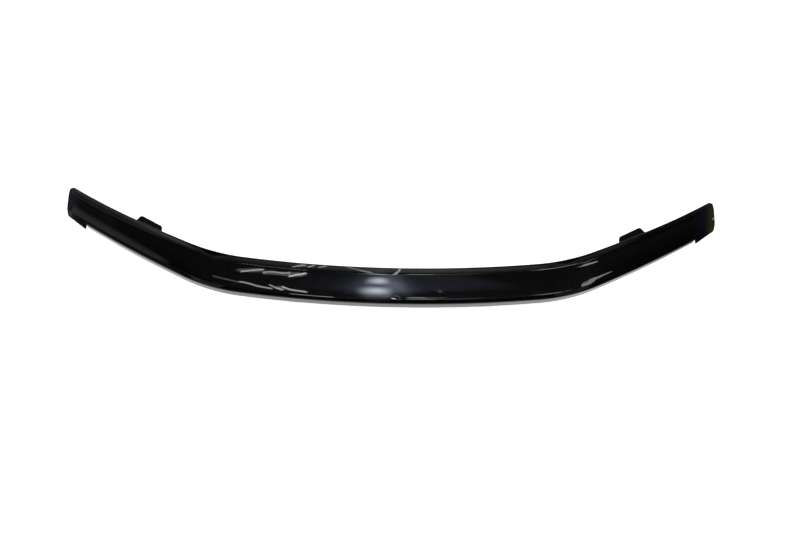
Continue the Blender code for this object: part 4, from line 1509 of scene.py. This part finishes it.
CARDS = (
    # two round lamps ahead of the middle, in their glow
    SoftCard(((-4.3, 67.8, -4.3, 57.4), (2.0, 67.8, 2.0, 57.4)), 12.0, (1.0, 1.0), COOL),
    SoftCard(((-5.0, 57.3, -5.0, 46.4), (2.2, 57.3, 2.2, 46.4)), 12.3, (1.0, 1.0), COOL),
    SoftCard(((-7.0, 74.0, -7.0, 42.0), (5.5, 74.0, 5.5, 42.0)), 1.9, (1.0, 1.0), COOL),
    SoftCard(((-10.0, 74.0, -10.0, 47.0), (8.0, 74.0, 8.0, 47.0)), 1.0, (0.4, 1.0), HAZE),
    SoftCard(((-20.0, 78.0, -20.0, 48.0), (25.0, 78.0, 25.0, 48.0)), 0.32, (0.25, 0.9), HAZE),
    SoftCard(((-4.2, 52.0, -4.2, 42.5), (2.2, 52.0, 2.2, 42.5)), 2.4, (1.0, 0.7), COOL),
    SoftCard(((-3.2, 40.0, -3.2, 8.0), (1.2, 40.0, 1.2, 8.0)), 0.4, (1.0, 1.0), COOL),
    # a grey wall on the left
    SoftCard(((-82.0, 32.5, -82.0, 1.0), (-66.5, 31.0, -66.5, 1.0), (-61.0, 28.8, -61.0, 1.5),
              (-56.5, 26.0, -56.5, 2.0)), 0.40, (0.32, 0.3)),
    # left: a curtained window above a row of lamps
    SoftCard(((-28.9, 58.9, -27.6, 57.0), (-28.3, 60.7, -27.1, 58.9), (-28.1, 62.2, -26.9, 60.4),
              (-27.9, 63.7, -26.6, 62.0), (-27.2, 65.1, -25.8, 63.3)), 7.2),
    SoftCard(((-34.2, 59.6, -32.2, 57.2), (-29.9, 62.4, -27.3, 58.5), (-29.4, 64.3, -25.7, 59.1),
              (-28.8, 65.3, -25.0, 60.0), (-27.3, 65.4, -24.8, 61.9)), 1.5, (0.5, 0.3)),
    SoftCard(((-25.2, 61.4, -24.1, 59.5), (-25.3, 62.6, -24.1, 60.7), (-25.1, 63.6, -23.9, 61.7),
              (-24.3, 64.1, -23.1, 62.2), (-23.3, 64.0, -22.1, 62.0), (-22.1, 64.2, -20.9, 62.2),
              (-21.5, 65.1, -20.4, 63.2), (-21.5, 65.8, -20.3, 63.8)), 6.2),
    SoftCard(((-25.1, 61.5, -23.5, 58.7), (-24.1, 62.6, -22.4, 59.6), (-22.9, 63.1, -21.1, 59.9),
              (-21.5, 63.4, -19.8, 60.1), (-20.4, 64.2, -18.5, 60.3)), 1.7, (0.5, 0.1)),
    SoftCard(((-19.6, 61.0, -18.7, 59.0), (-19.2, 62.2, -18.3, 60.3), (-19.3, 63.6, -18.3, 61.6),
              (-19.0, 64.4, -18.0, 62.4), (-18.6, 64.8, -17.6, 62.9), (-18.6, 66.1, -17.5, 64.2),
              (-18.0, 66.3, -17.4, 65.2)), 10.5),
    SoftCard(((-21.7, 65.0, -19.1, 60.1), (-20.5, 66.2, -17.2, 59.8), (-19.0, 66.2, -16.5, 61.1),
              (-17.8, 66.3, -16.5, 64.0)), 1.9, (0.5, 0.2)),
    SoftCard(((-36.7, 44.7, -36.7, 43.1), (-34.7, 47.1, -34.5, 45.5), (-33.5, 47.8, -32.8, 46.2),
              (-29.5, 48.2, -28.8, 46.6), (-23.3, 48.5, -22.8, 46.8)), 1.6),
    SoftCard(((-24.9, 48.9, -24.3, 47.4), (-23.0, 49.3, -22.4, 47.3), (-21.8, 48.8, -21.2, 46.6),
              (-20.5, 47.7, -19.9, 45.5), (-19.4, 47.2, -18.9, 45.1), (-18.4, 46.8, -17.9, 44.9),
              (-17.4, 46.4, -17.0, 44.5)), 6.5),
    SoftCard(((-19.1, 50.1, -18.8, 48.9), (-18.6, 49.7, -18.1, 47.9), (-17.8, 48.6, -17.3, 46.5),
              (-17.2, 47.9, -16.7, 45.7), (-16.4, 47.2, -16.0, 45.1), (-15.8, 46.4, -15.5, 44.8)), 7.0),
    SoftCard(((-17.0, 50.1, -16.7, 48.9), (-16.5, 49.7, -16.1, 47.6), (-15.9, 49.0, -15.5, 46.9),
              (-15.3, 48.1, -14.9, 46.0), (-14.7, 47.7, -14.3, 45.6), (-13.7, 47.4, -13.3, 45.4),
              (-12.6, 47.1, -12.3, 45.1), (-11.9, 46.5, -11.7, 45.0)), 8.5),
    SoftCard(((-17.7, 49.6, -16.9, 46.3), (-16.8, 49.6, -15.8, 44.6), (-15.7, 48.1, -15.1, 45.4)), 2.0,
             (0.5, 0.4)),
    SoftCard(((-12.6, 23.0, -12.6, 24.8), (-11.6, 19.2, -11.6, 22.0), (-10.9, 17.2, -10.9, 20.7),
              (-10.4, 17.6, -10.4, 20.3)), 5.6),
    SoftCard(((-10.3, 20.0, -10.3, 22.0), (-9.8, 18.4, -9.8, 20.4), (-9.2, 16.6, -9.3, 18.8)), 8.0),
    SoftCard(((-8.9, 19.4, -8.8, 21.4), (-8.3, 18.0, -8.2, 20.2), (-7.8, 16.5, -7.6, 18.5)), 5.5),
    SoftCard(((-12.4, 16.6, -12.4, 14.4), (-6.2, 16.6, -6.2, 14.4)), 8.0, (0.3, 0.2)),
    # middle: a cable and a bracket lamp low ahead, with a shelf light beside them
    SoftCard(((-5.1, 16.5, -5.1, 17.9), (-3.8, 18.9, -3.8, 20.7), (-1.9, 22.1, -2.0, 26.6),
              (0.6, 38.0, 1.2, 43.0)), 4.2),
    SoftCard(((1.2, 44.5, 1.9, 44.5), (1.2, 38.0, 1.85, 38.0), (1.25, 29.0, 1.85, 29.0)), 15.0),
    SoftCard(((1.2, 29.0, 1.8, 29.0), (1.4, 23.0, 1.95, 23.0), (1.75, 20.3, 2.15, 20.3),
              (1.8, 15.8, 2.25, 15.8)), 7.5, (0.6, 0.1)),
    SoftCard(((1.7, 47.8, 2.0, 47.1), (2.2, 47.2, 2.4, 46.2), (2.6, 45.9, 2.6, 44.8), (2.7, 45.0, 2.9, 44.0)),
             6.0, (0.6, 0.3)),
    SoftCard(((2.9, 43.0, 2.9, 29.0), (7.6, 43.0, 7.6, 30.0)), 7.0, (0.5, 0.4)),
    SoftCard(((6.0, 42.0, 6.0, 28.0), (15.0, 42.0, 15.0, 30.0)), 1.8, (0.5, 0.4)),
    SoftCard(((3.4, 46.1, 3.4, 44.2), (6.9, 46.0, 6.9, 44.1)), 3.4, (0.5, 0.5)),
    SoftCard(((5.0, 45.8, 5.0, 44.0), (10.0, 45.4, 10.0, 43.6)), 1.5, (0.5, 0.4)),
    SoftCard(((9.4, 53.4, 9.2, 49.9), (10.2, 53.0, 10.0, 50.2)), 1.3, (0.5, 0.5)),
    # right: a shelf light, and a window with its sill
    SoftCard(((19.8, 34.0, 19.8, 25.0), (24.0, 39.0, 24.0, 23.0), (30.0, 39.0, 30.0, 23.0),
              (35.5, 35.0, 35.5, 25.0)), 6.0, (0.5, 0.3)),
    SoftCard(((34.5, 29.0, 34.5, 21.0), (37.6, 28.0, 37.6, 20.0)), 5.0, (0.5, 0.4)),
    SoftCard(((38.4, 53.6, 39.1, 53.1), (41.4, 51.0, 42.1, 49.9), (45.6, 48.6, 45.5, 46.8),
              (50.1, 45.8, 49.5, 44.0), (55.6, 42.4, 54.4, 41.2), (61.3, 39.2, 60.5, 38.3)), 5.6),
    SoftCard(((44.3, 34.9, 43.8, 29.0), (46.1, 33.9, 45.4, 25.0), (48.5, 32.2, 47.6, 20.5),
              (51.4, 30.1, 50.9, 25.0), (54.3, 27.8, 53.9, 25.3), (56.3, 26.4, 55.9, 24.3),
              (58.2, 25.4, 57.8, 24.0), (59.3, 25.1, 59.0, 24.2)), 4.3),
)


@dataclass
class Studio:
    """Pale floor, soft lights and the camera at the photograph's angle.

    Attributes:
        floor_glow: The floor's own light as the camera sees it, and as gloss sees it.
        table_size: Half the size of the round table top that gloss sees of the floor; it fades out
            between the two shares of that size in table_fade.
        fill: Light of the room on what isn't glossy.
        band_light: Brightness of the pale band that gloss sees, by the X of its direction.
        band_sags: Sideways parts of a direction between which the band sinks, and by how much.
        band_foot: Heights of a direction between which the band comes in.
        band_head: Heights between which it goes out again, from the upper one down.
        band_ahead: Forward part of a direction from which the band is full.
        behind: Backward parts between which the room brightens, and its light before and after.
        ceiling: Heights between which the ceiling comes in, and its light.
        card_distance: Distance of a soft card, less card_step for each unit of its strength.
        lamp_power: Watts.
        shift_pixels: Right and down shift of the frame, in pixels of the photograph.
    """

    floor_level: float = -0.12
    floor_reach: float = 9.0
    floor_colour: str = "#F4F4F3"
    floor_glow: tuple[float, float] = (0.6, 0.35)
    table_centre: tuple[float, float, float] = (-0.38, 0.1, 0.0)
    table_size: tuple[float, float, float] = (1.3, 0.9, 1.0)
    table_fade: tuple[float, float] = (0.6, 1.0)
    fill: float = 0.55
    band_light: Pairs = ((-0.95, 0.5), (-0.86, 0.45), (-0.82, 0.85), (-0.78, 0.7), (-0.6, 0.35),
                         (-0.4, 0.27), (-0.28, 0.4), (-0.12, 0.58), (0.1, 1.1), (0.18, 0.72),
                         (0.3, 0.45), (0.42, 0.28), (0.83, 0.3), (0.86, 0.04), (0.9, 0.08), (0.94, 0.12))
    band_sags: tuple[tuple[float, float, float], ...] = ((0.39, 0.52, 0.2), (0.52, 1.0, 0.26))
    band_foot: tuple[float, float] = (0.28, 0.31)
    band_head: tuple[float, float] = (0.46, 0.30)
    band_ahead: float = 0.25
    behind: tuple[float, float, float, float] = (0.7, 1.0, 0.006, 0.25)
    ceiling: tuple[float, float, float] = (0.45, 0.6, 0.04)
    card_distance: float = 12.0
    card_step: float = 0.08
    lamp_place: tuple[float, float, float] = (0.6, -1.2, 2.6)
    lamp_aim: tuple[float, float, float] = (0.0, 0.05, 0.0)
    lamp_size: tuple[float, float] = (2.4, 1.6)
    lamp_power: float = 45.0
    target: tuple[float, float, float] = (-0.0418, 0.09, 0.03)
    distance: float = 3.2
    elevation: float = radians(45)
    roll: float = radians(1.37)
    focal_pixels: float = 1501.1
    frame_pixels: tuple[float, float] = (800.0, 533.0)
    shift_pixels: tuple[float, float] = (-29.0, -13.87)
    sensor_width: float = 36.0

    def add_camera(self) -> None:
        """Set the camera at the photograph's viewing angle."""
        data = bpy.data.cameras.new("camera")
        camera = add_object("camera", data)
        toward = Vector((0.0, -cos(self.elevation), sin(self.elevation)))
        right = Vector((1.0, 0.0, 0.0))
        up = toward.cross(right)
        rolled_right = right * cos(self.roll) + up * sin(self.roll)
        rolled_up = up * cos(self.roll) - right * sin(self.roll)
        rotation = Matrix((rolled_right, rolled_up, toward)).transposed().to_4x4()
        camera.matrix_world = Matrix.Translation(Vector(self.target) + toward * self.distance) @ rotation
        width = self.frame_pixels[0]
        data.sensor_fit = "HORIZONTAL"
        data.sensor_width = self.sensor_width
        data.lens = self.focal_pixels / width * self.sensor_width
        data.shift_x = -self.shift_pixels[0] / width
        data.shift_y = self.shift_pixels[1] / width
        data.clip_start = 0.05
        bpy.context.scene.camera = camera

    def add_floor(self) -> None:
        """Lay a wide pale floor, which gloss sees as a small table top in a dark room."""
        bm = bmesh.new()
        bmesh.ops.create_grid(bm, x_segments=1, y_segments=1, size=self.floor_reach,
                              matrix=Matrix.Translation((0, 0, self.floor_level)))
        floor = add_mesh("studio_floor", bm)
        paper = bpy.data.materials.new("studio_paper")
        add = empty_tree(paper)
        for_camera, for_gloss = self.floor_glow
        place = add("ShaderNodeTexCoord").outputs["Object"]
        table = add("ShaderNodeMapping", {"Vector": place, "Location": self.table_centre,
                                          "Scale": self.table_size}, vector_type="TEXTURE")
        away = add(VECTOR, (table,), operation="LENGTH").outputs["Value"]
        beyond = add(RANGE, {"Value": away, "From Min": self.table_fade[0],
                             "From Max": self.table_fade[1]}, **SMOOTH)
        view = add("ShaderNodeLightPath").outputs
        glow = add(MATH, (view["Is Glossy Ray"], for_gloss), operation="MULTIPLY")
        glow = add(MATH, (view["Is Camera Ray"], for_camera, glow), operation="MULTIPLY_ADD")
        surface = add("ShaderNodeBsdfDiffuse", {"Color": linear(self.floor_colour)})
        light = add("ShaderNodeEmission", {"Color": WHITE, "Strength": glow})
        both = add("ShaderNodeAddShader", (surface, light))
        gone = add(MATH, (view["Is Glossy Ray"], beyond), operation="MULTIPLY")
        clear = add("ShaderNodeBsdfTransparent")
        seen = add("ShaderNodeMixShader", (gone, both, clear))
        add("ShaderNodeOutputMaterial", {"Surface": seen})
        floor.data.materials.append(paper)

    def add_world(self) -> None:
        """Light the room evenly; gloss sees it dark, with a pale band low ahead."""
        world = bpy.data.worlds.new("studio_room")
        bpy.context.scene.world = world
        add = empty_tree(world)
        way = add("ShaderNodeTexCoord").outputs["Generated"]
        x, y, z = add("ShaderNodeSeparateXYZ", (way,)).outputs
        aside = add(MATH, (x,), operation="ABSOLUTE")
        level = z
        for start, end, sag in self.band_sags:
            fall = add(RANGE, {"Value": aside, "From Min": start, "From Max": end, "To Max": sag})
            level = add(MATH, (level, fall), operation="ADD")
        foot, head = (add(RANGE, {"Value": level, "From Min": start, "From Max": end}, **SMOOTH)
                      for start, end in (self.band_foot, self.band_head))
        ahead = add(RANGE, {"Value": y, "From Min": 0.0, "From Max": -self.band_ahead})
        band = add(MATH, (foot, head), operation="MULTIPLY")
        band = add(MATH, (band, ahead), operation="MULTIPLY")
        across = add(MATH, (x, 0.5, 0.5), operation="MULTIPLY_ADD")
        brightness = add("ShaderNodeValToRGB", (across,))
        for spot, light in self.band_light:
            stop = brightness.color_ramp.elements.new((spot + 1) / 2)
            stop.color = (light, light, light, 1.0)
        near, far, dim, bright = self.behind
        behind = add(RANGE, {"Value": y, "From Min": near, "From Max": far, "To Min": dim,
                             "To Max": bright}, **SMOOTH)
        low, high, bright = self.ceiling
        ceiling = add(RANGE, {"Value": z, "From Min": low, "From Max": high, "To Max": bright})
        rest = add(MATH, (behind, ceiling), operation="ADD")
        room = add(MATH, (band, brightness, rest), operation="MULTIPLY_ADD")
        gloss, plain, white = (add("ShaderNodeBackground", {"Color": WHITE, "Strength": strength})
                               for strength in (room, self.fill, 1.0))
        view = add("ShaderNodeLightPath").outputs
        lit = add("ShaderNodeMixShader", (view["Is Glossy Ray"], plain, gloss))
        seen = add("ShaderNodeMixShader", (view["Is Camera Ray"], lit, white))
        add("ShaderNodeOutputWorld", {"Surface": seen})

    def add_cards(self) -> None:
        """Hang the soft cards, which only gloss sees."""
        bm = bmesh.new()
        bm.loops.layers.uv.new("spread")
        for name in ("light", "feather"):
            bm.verts.layers.float_vector.new(name)
        for card in CARDS:
            card.hang(bm, self.card_distance, self.card_step)
        cards = add_mesh("soft_cards", bm)
        glow = bpy.data.materials.new("soft_card")
        add = empty_tree(glow)
        uv = add("ShaderNodeUVMap", uv_map="spread")
        colour = add("ShaderNodeAttribute", attribute_name="light").outputs["Color"]
        feather = add("ShaderNodeAttribute", attribute_name="feather").outputs["Vector"]
        reach = add(VECTOR, (uv,), operation="ABSOLUTE")
        inward = add(VECTOR, ((1, 1, 0), reach), operation="SUBTRACT")
        share = add(VECTOR, (inward, feather), operation="DIVIDE")
        masks = [add(RANGE, {"Value": way}, **SMOOTH)
                 for way in add("ShaderNodeSeparateXYZ", (share,)).outputs[:2]]
        mask = add(MATH, masks, operation="MULTIPLY")
        light = add("ShaderNodeEmission", {"Color": colour, "Strength": mask})
        clear = add("ShaderNodeBsdfTransparent")
        both = add("ShaderNodeAddShader", (light, clear))
        add("ShaderNodeOutputMaterial", {"Surface": both})
        cards.data.materials.append(glow)
        cards.visible_camera = cards.visible_diffuse = cards.visible_shadow = False

    def add_lamp(self) -> None:
        """Hang the soft key lamp, which neither the camera nor gloss sees."""
        data = bpy.data.lights.new("key", "AREA")
        data.shape = "RECTANGLE"
        data.size, data.size_y = self.lamp_size
        data.energy = self.lamp_power
        lamp = add_object("key", data)
        aim = Vector(self.lamp_aim) - Vector(self.lamp_place)
        turn = aim.to_track_quat("-Z", "Y").to_matrix().to_4x4()
        lamp.matrix_world = Matrix.Translation(self.lamp_place) @ turn
        lamp.visible_camera = lamp.visible_glossy = False

    def build(self) -> None:
        """Build the camera, the floor, the room, the soft cards and the lamp."""
        self.add_camera()
        self.add_floor()
        self.add_world()
        self.add_cards()
        self.add_lamp()
        LOG.info("studio: camera, floor, room, %d soft cards and lamp", len(CARDS))


def main() -> None:
    """Build the object and its studio, in order."""
    logging.basicConfig(level=logging.INFO, format="%(name)s: %(message)s")
    bpy.context.scene.view_settings.view_transform = "Standard"
    Shield().build()
    Mounting().build()
    Studio().build()


if __name__ == "__main__":
    main()
